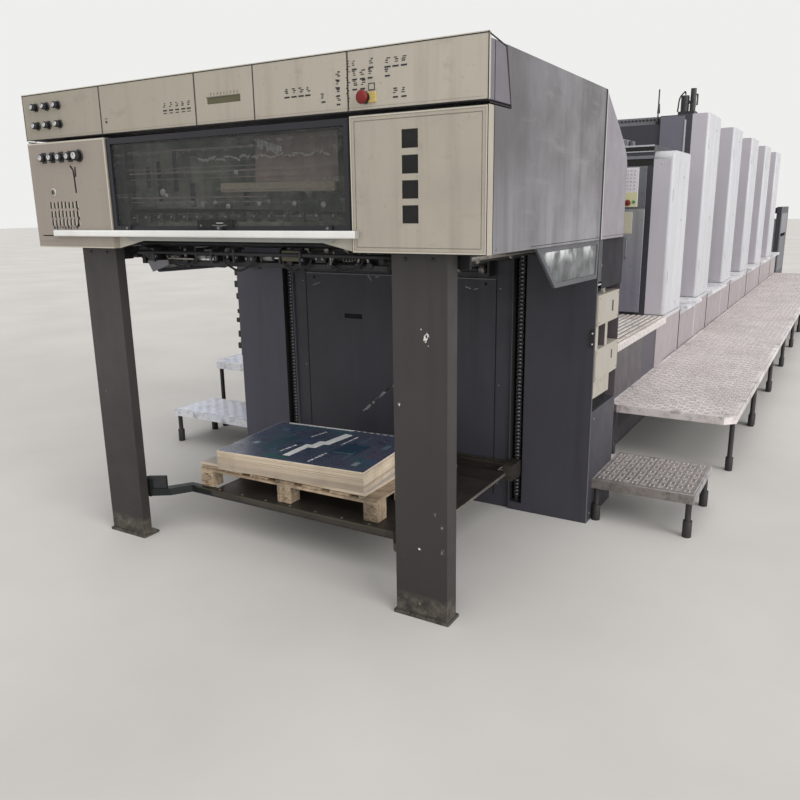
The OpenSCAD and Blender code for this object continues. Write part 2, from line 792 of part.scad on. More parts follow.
// The lifting plate has a hook at each corner that holds on to a chain
module lift_plate() {
    rear_y = pillar_y + wall_back - lift_gap;
    rear_beam_y = rear_y - 90;
    rear_hook_y = chain_y - plate_h / 2 - hook_gap;
    front_hook_y = col_chain_y + plate_h / 2 + hook_gap;
    hook_in = col_x - col_w / 2 - 8;
    hook_out = col_x + hook_w / 2;
    front = [[lift_straight, lift_y], [lift_straight + 56, lift_y - lift_jog],
        [hook_in + 16, front_hook_y], [hook_out, front_hook_y]];
    rear = [[hook_out, front_hook_y + lift_beam], [hook_in + 32, front_hook_y + lift_beam],
        [lift_straight + 86, lift_y - lift_jog + lift_beam], [lift_straight + 26, lift_y + lift_beam]];
    color([0.30, 0.29, 0.28]) placed() {
        block([-lift_left, lift_y, lift_top - lift_skin], [lift_right, rear_y, lift_top]);
        for (x = [-lift_left + 40, -20, lift_right - 90])
            block([x, lift_y + 1, lift_z + 5], [x + 40, rear_y - 1, lift_top - lift_skin + 1]);
        block([-lift_straight - 27, lift_y, lift_z], [lift_straight + 27, lift_y + lift_beam, lift_top]);
        block([-lift_left + 20, rear_y - 30, lift_top - 1],
            [lift_right - 20, rear_y - 18, lift_top + lift_rail_h]);
        block([-chain_x, rear_beam_y, lift_z], [chain_x, rear_beam_y + 50, lift_top]);
        both_sides() {
            translate([0, 0, lift_z]) linear_extrude(lift_t) polygon(concat(front, rear));
            block([chain_x - hook_w / 2, rear_beam_y, lift_z],
                [chain_x + hook_w / 2, rear_hook_y, lift_z + hook_h]);
            block([hook_in, front_hook_y, lift_z], [hook_out, front_hook_y + 12, lift_z + hook_h]);
        }
    }
}

// Draws its children about the pallet's own middle
module on_pallet() {
    translate([-pallet_x, pallet_y, 0]) rotate([0, 0, pallet_turn]) children();
}

// A wooden pallet: nine blocks, three runners on them and the deck boards
module pallet() {
    board = 11;
    deck_set = 8;
    block_w = 72;
    board_w = 100;
    l = pallet_l;
    b = pallet_b;
    color([0.62, 0.50, 0.36]) placed() on_pallet() {
        for (y = [-b / 2, -block_w / 2, b / 2 - block_w]) {
            for (x = [-l / 2, -block_w / 2, l / 2 - block_w])
                block([x, y, lift_top], [x + block_w, y + block_w, pile_z - 2 * board]);
            block([-l / 2, y, pile_z - 2 * board], [l / 2, y + block_w, pile_z - board]);
        }
        for (k = [0:6])
            translate([-l / 2 + k * (l - board_w) / 6, deck_set - b / 2, pile_z - board])
                cube([board_w, b - 2 * deck_set, board]);
    }
}

// The pile: a low lot of larger sheets and three lots that don't lie quite square on each other
module sheet_pile() {
    lots = 3;
    lot = (pile_h - base_h) / lots;
    pile_x = 21;
    color([0.80, 0.77, 0.68]) placed() {
        on_pallet() translate([-40, 0, pile_z])
            block([-base_l / 2, -base_b / 2, 0], [base_l / 2, base_b / 2, base_h]);
        translate([-pile_x, pile_y, pile_z + base_h]) rotate([0, 0, pile_turn]) for (k = [0:lots - 1])
            translate([1.5 * (k % 2), -1.2 * (k % 3), k * lot])
                block([-sheet_l / 2, -sheet_b / 2, 0], [sheet_l / 2, sheet_b / 2, lot]);
    }
}

// Housing of the delivery chains between the hood and the coating unit
module extension_housing() {
    upper = [[ext_y, platform_low - 1], [coater_y, platform_low - 1], [coater_y, coater_h - ext_drop],
        [rear_end, hood_low + 332], [rear_end, hood_low], [ext_y, hood_low]];
    color(dark_col) placed() {
        block([-gallery_in, ext_y, 0], [gallery_in, coater_y, platform_low]);
        across(-ext_x, ext_x) polygon(upper);
    }
}

// The upper platforms lie on the extension's wide base
module upper_platforms() {
    color(tread_col) placed() both_sides()
        block([ext_x, ext_y, platform_low], [gallery_in + 10, coater_y, platform_z]);
}

// A unit's body between two side frames, with its guards set back; the outline is in Y and Z
module body_of(outline) {
    guard_x = body_x - frame_w + 1;
    both_sides() across(body_x - frame_w, body_x) polygon(outline);
    across(-guard_x, guard_x) polygon(inset(outline, guard_set));
    across(-guard_x, guard_x) square([outline[1][0], guard_set + 1]);
}

module coater_body() {
    outline = [[0, 0], [coater_len, 0], [coater_len, 1000], [900, 1050], [tower_len, 1480],
        [tower_len, coater_h], [0, coater_h]];
    color(dark_col) placed() translate([0, coater_y, 0]) body_of(outline);
}

module unit_body(k) {
    outline = [[0, 0], [unit_len, 0], [unit_len, 1020], [1180, 1060], [860, 1330], [tower_len + 20, 1900],
        [tower_len + 20, unit_h], [0, unit_h]];
    color(dark_col) placed() translate([0, units_y + k * unit_len, 0]) {
        body_of(outline);
        both_sides() block([430, 0, unit_h - guard_set - 1], [body_x, tower_len, unit_top]);
    }
}

module unit_body_1() unit_body(0);
module unit_body_2() unit_body(1);
module unit_body_3() unit_body(2);
module unit_body_4() unit_body(3);
module unit_body_5() unit_body(4);

// An end cover with its outer edges rounded, seen from above
module tower(y, high) {
    r = tower_round;
    translate([body_x, y, tower_low]) linear_extrude(high - tower_low) {
        square([tower_t - r, tower_len]);
        translate([0, r]) square([tower_t, tower_len - 2 * r]);
        translate([tower_t - r, r]) circle(r = r);
        translate([tower_t - r, tower_len - r]) circle(r = r);
    }
}

// An outline with its two upper corners rounded, in Y and Z
module round_top(len, low, high, r) {
    translate([0, low]) square([len, high - r - low]);
    translate([r, low]) square([len - 2 * r, high - low]);
    translate([r, high - r]) circle(r = r);
    translate([len - r, high - r]) circle(r = r);
}

// The coating unit's end covers are rounded at the top as well
module coater_towers() {
    color(tower_col) placed() both_sides() intersection() {
        tower(coater_y, coater_tower_h);
        translate([0, coater_y, 0]) across(body_x - 1, tower_x + 1)
            round_top(tower_len, tower_low - 1, coater_tower_h, coater_round);
    }
}

module unit_towers(k) {
    color(tower_col) placed() both_sides() tower(units_y + k * unit_len, tower_h);
}

module unit_towers_1() unit_towers(0);
module unit_towers_2() unit_towers(1);
module unit_towers_3() unit_towers(2);
module unit_towers_4() unit_towers(3);
module unit_towers_5() unit_towers(4);

// Where each end cover starts, from the coating unit to the last printing unit
tower_starts = concat([coater_y], [for (k = [0:unit_count - 1]) units_y + k * unit_len]);
tower_ends = concat([units_y], [for (k = [1:unit_count]) units_y + k * unit_len]);

// Lower covers: a tall one below each end cover and a lower one in each gap
module lower_covers() {
    color(tower_col) placed() for (k = [0:unit_count]) {
        a = tower_starts[k];
        b = a + tower_len;
        block([body_x, a, cover_low], [tower_x, b, tower_low - cover_seam]);
        block([body_x, b + cover_seam, cover_low],
            [tower_x, tower_ends[k] - cover_seam, tower_low - cover_seam - board_t]);
    }
}

module lower_covers_right() lower_covers();
module lower_covers_left() mirror([1, 0, 0]) lower_covers();

// A footboard on the lower cover in each gap between end covers
module footboards() {
    color(tread_col) placed() both_sides() for (k = [0:unit_count])
        block([body_x, tower_starts[k] + tower_len + 12, tower_low - cover_seam - board_t],
            [tower_x + board_out, tower_ends[k] - 12, tower_low - cover_seam]);
}

// A small pump with its motor on the first printing unit, and a signal rod beside it
module ink_pump() {
    base_h = 40;
    motor_h = 234 - base_h;
    rod_h = 278;
    color([0.30, 0.32, 0.30]) placed() translate([0, units_y, 0]) {
        block([560, 90, unit_top], [700, 240, unit_top + base_h]);
        translate([600, 165, unit_top + base_h - 1]) cylinder(r = 34, h = motor_h - 55);
        translate([668, 165, unit_top + base_h - 1]) cylinder(r = 24, h = motor_h);
        block([590, 150, unit_top + 110], [670, 180, unit_top + 130]);
        translate([404, 30, unit_h - guard_set]) cylinder(r = 6, h = rod_h + guard_set);
        translate([404, 30, unit_h - guard_set]) cylinder(r = 16, h = 30);
    }
}

// A tread with legs: outline corners are cut at its front where cut is over 0
module tread(x0, x1, y0, y1, top, cut) {
    leg_in = 23;
    translate([0, 0, top - tread_t]) linear_extrude(tread_t)
        polygon([[x0 + cut, y0], [x1 - cut, y0], [x1, y0 + cut], [x1, y1], [x0, y1], [x0, y0 + cut]]);
    for (x = [x0 + leg_in, x1 - leg_in], y = [y0 + leg_in + cut, y1 - leg_in]) translate([x, y, 0]) {
        cylinder(r = leg_r, h = top - tread_t + 1);
        cylinder(r = leg_foot_r, h = leg_foot_h);
    }
}

// A gallery is a row of treads that ends at the last printing unit
module gallery(y0, x1, top) {
    n = round((gallery_end - y0) / section_len);
    l = (gallery_end - y0) / n;
    for (k = [0:n - 1])
        tread(gallery_in, x1, y0 + k * l, y0 + (k + 1) * l - section_gap, top, k == 0 ? 60 : 0);
}

module gallery_right() {
    color(tread_col) placed() gallery(gallery_right_y, gallery_right_x, gallery_right_z);
}

module gallery_left() {
    color(tread_col) placed() mirror([1, 0, 0]) gallery(gallery_left_y, gallery_left_x, gallery_left_z);
}

module step_right() {
    x0 = pillar_out + section_gap;
    color(tread_col) placed()
        tread(x0, x0 + step_right_w, step_right_y, step_right_y + step_right_len, step_right_z, 0);
}

module step_left() {
    y1 = gallery_left_y - section_gap;
    color(tread_col) placed() mirror([1, 0, 0])
        tread(pillar_out + section_gap, gallery_left_x, y1 - step_left_len, y1, step_left_z, 0);
}

// The feed board slopes down from the feeder to the first printing unit
module feed_board() {
    board_h = 40;
    rim_h = 60;
    side_t = 61;
    top = [[0, feed_low - board_h], [feed_len, feed_high - board_h], [feed_len, feed_high], [0, feed_low]];
    side = [[0, 0], [feed_len, 0], [feed_len, feed_high + rim_h], [0, feed_low + rim_h]];
    color([0.50, 0.51, 0.52]) placed() translate([0, feed_y, 0]) {
        across(side_t - 1 - body_x, body_x - side_t + 1) polygon(top);
        both_sides() across(body_x - side_t, body_x) polygon(side);
    }
}

// The feeder's side walls, cross beams and pile board
module feeder_frame() {
    y1 = feeder_y + feeder_len;
    post = 300;
    color(dark_col) placed() {
        both_sides() {
            block([body_x, feeder_y, 0], [body_x + feeder_wall, y1, post]);
            block([body_x, feeder_y, 0], [body_x + feeder_wall, feeder_y + post, feeder_h]);
            block([body_x, y1 - post, 0], [body_x + feeder_wall, y1, feeder_h]);
            block([body_x, feeder_y, feeder_h - 160], [body_x + feeder_wall, y1, feeder_h]);
        }
        block([-body_x - 1, feeder_y + 60, feeder_h - 120], [body_x + 1, feeder_y + 160, feeder_h - 20]);
        block([-body_x - 1, y1 - 140, feeder_h - 100], [body_x + 1, y1 - 60, feeder_h - 20]);
        block([-body_x - 1, feeder_y + post + 30, 120], [body_x + 1, y1 - post - 30, 160]);
    }
}

// The suction head rides on two rails between the feeder's cross beams
module feeder_head() {
    y0 = feeder_y + 160;
    y1 = feeder_y + feeder_len - 140;
    rail_x = head_w / 2 - 41;
    cup_z = feeder_h - 130;
    color([0.45, 0.46, 0.47]) placed() {
        both_sides() block([rail_x, y0, feeder_h - 90], [rail_x + 40, y1, feeder_h - 40]);
        block([-head_w / 2, y0 + head_set, cup_z], [head_w / 2, y0 + head_set + head_d, feeder_h - 20]);
        for (x = [-1.5, -0.5, 0.5, 1.5] * cup_gap)
            translate([x, y0 + head_set + 60, cup_z - cup_h]) cylinder(r = 18, h = cup_h + 1);
        for (x = [-1, 1] * cup_gap)
            translate([x, y0 + head_set + 160, cup_z - cup_h]) cylinder(r = 22, h = cup_h + 1);
    }
}

front_column_left();
front_column_right();
hood_frame();
hood_side_left();
hood_side_right();
hood_roof();
hood_rear_cover();
control_strip();
strip_console();
front_panel_left();
front_panel_right();
guard_frame();
guard_glass();
guard_handle();
side_window_frames();
side_window_panes();
rear_pillar_left();
rear_pillar_right();
back_wall();
lift_chains();
delivery_bars();
fan_bar();
control_boxes();
selector_knobs();
emergency_stop();
lift_plate();
pallet();
sheet_pile();
extension_housing();
upper_platforms();
coater_body();
coater_towers();
unit_body_1();
unit_body_2();
unit_body_3();
unit_body_4();
unit_body_5();
unit_towers_1();
unit_towers_2();
unit_towers_3();
unit_towers_4();
unit_towers_5();
lower_covers_right();
lower_covers_left();
footboards();
ink_pump();
gallery_right();
gallery_left();
step_right();
step_left();
feed_board();
feeder_frame();
feeder_head();
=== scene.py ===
import json
import math
import random

import bmesh
import bpy
from mathutils import Matrix, Vector


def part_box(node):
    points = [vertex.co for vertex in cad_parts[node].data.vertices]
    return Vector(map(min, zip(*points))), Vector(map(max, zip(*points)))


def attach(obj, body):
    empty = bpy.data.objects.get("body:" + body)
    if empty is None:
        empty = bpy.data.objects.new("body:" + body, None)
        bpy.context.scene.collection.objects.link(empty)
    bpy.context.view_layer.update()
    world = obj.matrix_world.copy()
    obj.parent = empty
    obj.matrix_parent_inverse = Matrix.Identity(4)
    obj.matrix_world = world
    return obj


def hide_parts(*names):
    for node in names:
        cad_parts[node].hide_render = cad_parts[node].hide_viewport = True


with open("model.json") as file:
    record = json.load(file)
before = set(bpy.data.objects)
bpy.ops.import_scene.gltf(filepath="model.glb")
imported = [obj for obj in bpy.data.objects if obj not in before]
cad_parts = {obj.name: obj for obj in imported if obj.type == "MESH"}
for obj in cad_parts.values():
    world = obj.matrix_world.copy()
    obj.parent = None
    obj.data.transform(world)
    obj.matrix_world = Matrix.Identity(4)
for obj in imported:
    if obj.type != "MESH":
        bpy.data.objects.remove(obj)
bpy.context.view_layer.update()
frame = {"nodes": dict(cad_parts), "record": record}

MM = 0.001
rng = random.Random(7)

# Places that the pieces are built from, all read from the frame
strip_low, strip_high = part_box("control_strip")
FRONT = strip_low.y
HALF_W = strip_high.x
hood_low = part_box("hood_side_right")[0].z
side_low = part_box("side_window_panes")[0].z
side_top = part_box("hood_side_right")[1].z


def at(y):
    """A place along the press, given in metres from the hood's front."""
    return FRONT + y


# Materials

def srgb(r, g, b):
    """A colour given as it shows on a screen, 0 to 255, as the linear values that a shader takes."""
    def linear(c):
        c = c / 255
        return c / 12.92 if c <= 0.04045 else ((c + 0.055) / 1.055) ** 2.4
    return (linear(r), linear(g), linear(b), 1.0)


class Shader:
    """A material whose nodes are made by short calls; every pattern is in the object's own coordinates."""

    def __init__(self, name, rough=0.5, metal=0.0):
        self.mat = bpy.data.materials.new(name)
        self.mat.use_nodes = True
        self.tree = self.mat.node_tree
        self.bsdf = next(n for n in self.tree.nodes if n.type == "BSDF_PRINCIPLED")
        self.bsdf.inputs["Roughness"].default_value = rough
        self.bsdf.inputs["Metallic"].default_value = metal
        self.coord = self.tree.nodes.new("ShaderNodeTexCoord").outputs["Object"]

    def link(self, a, b):
        self.tree.links.new(a, b)

    def scaled(self, x, y, z, turn=(0, 0, 0)):
        node = self.tree.nodes.new("ShaderNodeMapping")
        node.inputs["Scale"].default_value = (x, y, z)
        node.inputs["Rotation"].default_value = turn
        self.link(self.coord, node.inputs["Vector"])
        return node.outputs["Vector"]

    def noise(self, scale, vector=None, detail=3.0, rough=0.55):
        node = self.tree.nodes.new("ShaderNodeTexNoise")
        node.inputs["Scale"].default_value = scale
        node.inputs["Detail"].default_value = detail
        node.inputs["Roughness"].default_value = rough
        self.link(vector or self.coord, node.inputs["Vector"])
        return node.outputs["Fac"]

    def cells(self, scale, vector=None, feature="F1"):
        node = self.tree.nodes.new("ShaderNodeTexVoronoi")
        node.feature = feature
        node.inputs["Scale"].default_value = scale
        self.link(vector or self.coord, node.inputs["Vector"])
        return node.outputs["Distance"]

    def window(self, value, low, high, a=0.0, b=1.0):
        """The value from low to high, spread over a to b and held there."""
        node = self.tree.nodes.new("ShaderNodeMapRange")
        node.inputs["From Min"].default_value = low
        node.inputs["From Max"].default_value = high
        node.inputs["To Min"].default_value = a
        node.inputs["To Max"].default_value = b
        self.link(value, node.inputs["Value"])
        return node.outputs["Result"]

    def math(self, kind, a, b):
        node = self.tree.nodes.new("ShaderNodeMath")
        node.operation = kind
        node.use_clamp = True
        for i, v in enumerate((a, b)):
            if isinstance(v, (int, float)):
                node.inputs[i].default_value = v
            else:
                self.link(v, node.inputs[i])
        return node.outputs[0]

    def part(self, axis):
        """One coordinate of the object, in metres."""
        node = self.tree.nodes.new("ShaderNodeSeparateXYZ")
        self.link(self.coord, node.inputs[0])
        return node.outputs["XYZ".index(axis)]

    def mix(self, factor, a, b, kind="MIX"):
        node = self.tree.nodes.new("ShaderNodeMix")
        node.data_type = "RGBA"
        node.blend_type = kind
        for i, v in ((0, factor), (6, a), (7, b)):
            if isinstance(v, (int, float, tuple)):
                node.inputs[i].default_value = v
            else:
                self.link(v, node.inputs[i])
        return node.outputs[2]

    def colour(self, value):
        self.link(value, self.bsdf.inputs["Base Color"])

    def roughness(self, value):
        self.link(value, self.bsdf.inputs["Roughness"])

    def bump(self, height, strength=0.2, distance=0.001):
        node = self.tree.nodes.new("ShaderNodeBump")
        node.inputs["Strength"].default_value = strength
        node.inputs["Distance"].default_value = distance
        self.link(height, node.inputs["Height"])
        if self.bsdf.inputs["Normal"].is_linked:
            self.link(self.bsdf.inputs["Normal"].links[0].from_socket, node.inputs["Normal"])
        self.link(node.outputs["Normal"], self.bsdf.inputs["Normal"])


def paint(name, base, dirt, streak=0.35, speck=0.25, rough=0.45, cloud=0.12, shine=0.5):
    """Enamel on sheet metal: cloudy tone, streaks that run down, and specks of dirt."""
    s = Shader(name, rough)
    s.bsdf.inputs["Specular IOR Level"].default_value = shine
    pale = tuple(min(1.0, c * (1 + cloud)) for c in base[:3]) + (1.0,)
    deep = tuple(c * (1 - cloud) for c in base[:3]) + (1.0,)
    tone = s.mix(s.window(s.noise(1.6), 0.3, 0.7), deep, pale)
    runs = s.noise(1.0, s.scaled(16, 16, 0.9), detail=4)
    patches = s.noise(1.1, s.scaled(1.3, 1.3, 0.7))
    streaks = s.math("MULTIPLY", s.window(runs, 0.48, 0.72, 0, 1), s.window(patches, 0.4, 0.62, 0, streak))
    tone = s.mix(streaks, tone, dirt)
    specks = s.window(s.noise(60, detail=2), 0.66, 0.8, 0, speck)
    tone = s.mix(specks, tone, dirt)
    rough_value = s.window(s.noise(9, detail=4), 0.3, 0.7, rough - 0.08, rough + 0.12)
    s.colour(tone)
    s.roughness(rough_value)
    s.bump(s.noise(420, detail=1), 0.06, 0.0006)
    return s.mat


def steel(name, base, grain=(60, 60, 2), rough=0.35, stain=None, stain_share=0.4):
    """Bare metal with a grain along one axis and stains."""
    s = Shader(name, rough, 0.85)
    lines = s.noise(1.0, s.scaled(*grain), detail=4)
    pale = tuple(min(1.0, c * 1.25) for c in base[:3]) + (1.0,)
    tone = s.mix(s.window(lines, 0.3, 0.7), base, pale)
    if stain:
        tone = s.mix(s.window(s.noise(5, detail=5), 0.5, 0.75, 0, stain_share), tone, stain)
    s.colour(tone)
    s.roughness(s.window(lines, 0.3, 0.7, rough - 0.08, rough + 0.14))
    s.bump(lines, 0.08, 0.0005)
    return s.mat


def lift_rail(name):
    """Oiled steel of the lift, scratched on the plate and nearly black on the joggled ends of its beam."""
    s = Shader(name, 0.45, 0.75)
    lines = s.noise(1.0, s.scaled(3, 60, 60), detail=4)
    tone = s.mix(s.window(lines, 0.3, 0.7), srgb(68, 64, 60), srgb(88, 83, 77))
    tone = s.mix(s.window(s.noise(5, detail=5), 0.48, 0.7, 0, 0.6), tone, srgb(54, 48, 43))
    ends = s.window(s.part("X"), -0.45, -0.43, 1, 0)
    s.colour(s.mix(ends, tone, srgb(42, 46, 45)))
    s.roughness(s.window(lines, 0.3, 0.7, 0.38, 0.58))
    s.bump(lines, 0.08, 0.0005)
    return s.mat


def plain(name, base, rough=0.5, metal=0.0, cloud=0.15, grain=80, shine=0.5):
    """Moulded plastic or oiled small parts, with a fine uneven tone."""
    s = Shader(name, rough, metal)
    s.bsdf.inputs["Specular IOR Level"].default_value = shine
    pale = tuple(min(1.0, c * (1 + cloud)) for c in base[:3]) + (1.0,)
    s.colour(s.mix(s.window(s.noise(grain, detail=3), 0.35, 0.65), base, pale))
    s.roughness(s.window(s.noise(grain / 3), 0.3, 0.7, rough - 0.06, rough + 0.1))
    s.bump(s.noise(grain * 6, detail=1), 0.08, 0.0004)
    return s.mat


def glass(name, base, alpha, rough=0.08, dust=0.25, wipe_scale=(3, 3, 9)):
    """A tinted sheet with wiped dust."""
    s = Shader(name, rough)
    wipe = s.noise(1.0, s.scaled(*wipe_scale), detail=4)
    dusty = s.math("MULTIPLY", s.window(wipe, 0.45, 0.75), s.window(s.noise(40, detail=4), 0.4, 0.7, 0, 1))
    s.colour(s.mix(s.math("MULTIPLY", dusty, dust), base, srgb(150, 152, 148)))
    s.link(s.window(dusty, 0, 1, alpha, min(1.0, alpha + dust)), s.bsdf.inputs["Alpha"])
    s.roughness(s.window(wipe, 0.3, 0.7, rough, rough + 0.14))
    return s.mat


def side_enamel(name, front, rear, dirt):
    """The hood sides' enamel: darker towards the front, with long smudges, runs and scuffs."""
    s = Shader(name, 0.45)
    tone = s.mix(s.window(s.part("Y"), FRONT, FRONT + 1.5), front, rear)
    smudge = s.noise(1.0, s.scaled(2.2, 2.2, 2.0), detail=5, rough=0.62)
    tone = s.mix(s.window(smudge, 0.44, 0.62, 0, 0.7), tone, dirt)
    runs = s.noise(1.0, s.scaled(17, 17, 0.8), detail=4)
    tone = s.mix(s.window(runs, 0.5, 0.72, 0, 0.7), tone, dirt)
    pale = s.noise(1.0, s.scaled(9, 9, 0.9), detail=3)
    low = s.window(s.part("Z"), hood_low + 0.32, hood_low + 0.05, 0, 1)
    wiped = s.math("MULTIPLY", s.window(pale, 0.4, 0.62, 0.2, 0.8), low)
    tone = s.mix(wiped, tone, srgb(140, 139, 144))
    streaks = s.noise(1.0, s.scaled(3, 3, 26), detail=4)
    tone = s.mix(s.window(streaks, 0.58, 0.76, 0, 0.4), tone, srgb(140, 139, 140))
    s.colour(s.mix(s.window(s.noise(70, detail=3), 0.62, 0.78, 0, 0.3), tone, dirt))
    s.roughness(s.window(smudge, 0.4, 0.7, 0.36, 0.6))
    s.bump(s.noise(420, detail=1), 0.06, 0.0006)
    return s.mat


def column_enamel(name):
    """The columns' dark enamel: darker to the foot, with specks and scuffs there and a dull foot band."""
    s = Shader(name, 0.5)
    tone = s.mix(s.window(s.noise(1.6), 0.3, 0.7), srgb(50, 47, 46), srgb(60, 57, 56))
    runs = s.noise(1.0, s.scaled(18, 18, 0.8), detail=4)
    tone = s.mix(s.window(runs, 0.5, 0.72, 0, 0.5), tone, srgb(43, 41, 41))
    low = s.window(s.part("Z"), 0.05, 0.75, 1, 0)
    tone = s.mix(s.math("MULTIPLY", low, 0.9), tone, srgb(38, 34, 33))
    flecks = s.window(s.noise(150, detail=4, rough=0.7), 0.66, 0.7)
    where = s.math("MULTIPLY", s.window(s.noise(6, detail=3), 0.5, 0.62), low)
    tone = s.mix(s.math("MULTIPLY", flecks, where), tone, srgb(126, 121, 112))
    foot = s.window(s.part("Z"), 0.07, 0.1, 0.8, 0)
    mud = s.window(s.noise(26, detail=5, rough=0.7), 0.4, 0.62)
    tone = s.mix(s.math("MULTIPLY", foot, mud), tone, srgb(96, 90, 78))
    s.colour(tone)
    s.roughness(s.window(s.noise(9, detail=4), 0.3, 0.7, 0.42, 0.6))
    s.bump(s.noise(420, detail=1), 0.06, 0.0006)
    return s.mat


def fascia_enamel(name):
    """Warm enamel of the front, darker to the left and below the console, with runs and thumb marks."""
    s = Shader(name, 0.45)
    across = s.window(s.part("X"), -1.1, 0.9)
    upper = s.mix(across, srgb(154, 147, 133), srgb(181, 174, 161))
    lower = s.mix(across, srgb(150, 140, 131), srgb(173, 165, 152))
    tone = s.mix(s.window(s.part("Z"), strip_low.z - 0.01, strip_low.z - 0.005), lower, upper)
    runs = s.noise(1.0, s.scaled(22, 22, 1.4), detail=4)
    tone = s.mix(s.window(runs, 0.52, 0.75, 0, 0.4), tone, srgb(142, 134, 120))
    cloud = s.noise(3.4, detail=4)
    tone = s.mix(s.window(cloud, 0.5, 0.68, 0, 0.3), tone, srgb(150, 138, 130))
    marks = s.noise(1.0, s.scaled(9, 9, 14), detail=5, rough=0.65)
    tone = s.mix(s.window(marks, 0.58, 0.74, 0, 0.35), tone, srgb(132, 123, 108))
    s.colour(s.mix(s.window(s.noise(90, detail=2), 0.68, 0.8, 0, 0.4), tone, srgb(112, 103, 88)))
    s.roughness(s.window(s.noise(9, detail=4), 0.3, 0.7, 0.38, 0.56))
    s.bump(s.noise(420, detail=1), 0.06, 0.0006)
    return s.mat


def dim_shapes(name, deep, pale, scale):
    """What stands behind the guard, blurred: soft blotches, with a few fine level lines."""
    s = Shader(name, 0.8)
    tone = s.mix(s.window(s.noise(scale, detail=4, rough=0.6), 0.36, 0.66), deep, pale)
    lines = s.noise(1.0, s.scaled(2, 2, 90), detail=3)
    tone = s.mix(s.window(lines, 0.52, 0.7, 0, 0.35), tone, pale)
    upright = s.noise(1.0, s.scaled(26, 26, 2), detail=2)
    s.colour(s.mix(s.window(upright, 0.5, 0.7, 0, 0.6), tone, deep))
    return s.mat


def pane_glass(name):
    """A hazy side pane: bright reflections along its top, a green dimness in its middle, fine vertical marks."""
    s = Shader(name, 0.2)
    top = s.window(s.part("Z"), side_low + 0.07, side_low + 0.13)
    spots = s.window(s.noise(1.0, s.scaled(14, 9, 9), detail=2), 0.46, 0.6)
    tone = s.mix(s.window(s.noise(11, detail=3), 0.4, 0.6), srgb(80, 84, 84), srgb(122, 124, 130))
    dim = s.window(s.noise(1.0, s.scaled(5, 5, 12), detail=2), 0.44, 0.6)
    tone = s.mix(s.math("MULTIPLY", dim, 0.8), tone, srgb(54, 64, 60))
    tone = s.mix(s.math("MULTIPLY", top, spots), tone, srgb(236, 238, 240))
    lines = s.noise(1.0, s.scaled(70, 70, 3), detail=3)
    s.colour(s.mix(s.window(lines, 0.52, 0.7, 0, 0.5), tone, srgb(156, 156, 160)))
    s.link(s.window(top, 0, 1, 0.72, 0.9), s.bsdf.inputs["Alpha"])
    return s.mat


def print_ink(name):
    """Glossy ink of the top sheet: navy and mauve grounds with teal and blue clouds."""
    s = Shader(name, 0.28)
    tone = s.mix(s.window(s.noise(2.6, detail=2), 0.4, 0.6), srgb(71, 79, 100), srgb(84, 84, 102))
    tone = s.mix(s.window(s.noise(5.2, detail=4), 0.5, 0.62, 0, 0.8), tone, srgb(64, 96, 112))
    tone = s.mix(s.window(s.noise(9, detail=5, rough=0.65), 0.55, 0.68, 0, 0.7), tone, srgb(68, 90, 130))
    tone = s.mix(s.window(s.noise(24, detail=5, rough=0.7), 0.6, 0.74, 0, 0.6), tone, srgb(106, 121, 130))
    tone = s.mix(s.window(s.part("X"), -0.30, -0.42, 0, 0.6), tone, srgb(92, 96, 122))
    s.colour(tone)
    s.roughness(s.window(s.noise(12), 0.3, 0.7, 0.22, 0.36))
    return s.mat


def tread_plate(name, legs_below=0.0, tint=(1.0, 1.0, 1.0)):
    """Worn aluminium tread, bright where feet rub and dirty elsewhere, over legs of dark steel."""
    s = Shader(name, 0.55, 0.3)

    # tint scales every tone of the tread; the walkways use it to paint light and shade onto copies of this one tread.
    def tinted(v):
        return srgb(*(min(250, v * c) for c in tint))
    wear = s.noise(2.2, detail=5)
    tone = s.mix(s.window(wear, 0.35, 0.65), tinted(158), tinted(200))
    rubbed = s.noise(1.0, s.scaled(5, 1.4, 5), detail=5, rough=0.65)
    tone = s.mix(s.window(rubbed, 0.5, 0.72, 0, 0.5), tone, tinted(224))
    grime = s.window(s.noise(14, detail=6, rough=0.7), 0.5, 0.66, 0, 0.75)
    tone = s.mix(grime, tone, tinted(108))
    specks = s.window(s.noise(120, detail=3, rough=0.7), 0.6, 0.7, 0, 0.6)
    tone = s.mix(specks, tone, tinted(82))
    below = s.window(s.part("Z"), legs_below - 0.0005, legs_below, 1, 0)
    s.colour(s.mix(below, tone, srgb(52, 50, 50)))
    s.roughness(s.window(wear, 0.35, 0.65, 0.66, 0.46))
    s.bump(s.noise(180, detail=2), 0.2, 0.0008)
    return s.mat


def wood(name):
    """Rough sawn softwood, greyed by weather, with darker ends and stains."""
    s = Shader(name, 0.85)
    grain = s.noise(1.0, s.scaled(3, 60, 60), detail=6)
    across = s.noise(1.0, s.scaled(40, 40, 5), detail=5)
    tone = s.mix(s.window(grain, 0.3, 0.7), srgb(146, 127, 105), srgb(192, 171, 144))
    tone = s.mix(s.window(across, 0.5, 0.72, 0, 0.65), tone, srgb(92, 78, 64))
    tone = s.mix(s.window(s.noise(7, detail=4), 0.52, 0.7, 0, 0.7), tone, srgb(84, 76, 68))
    s.colour(s.mix(s.window(s.noise(160, detail=4, rough=0.7), 0.58, 0.7, 0, 0.6), tone, srgb(60, 50, 42)))
    s.bump(grain, 0.6, 0.002)
    return s.mat


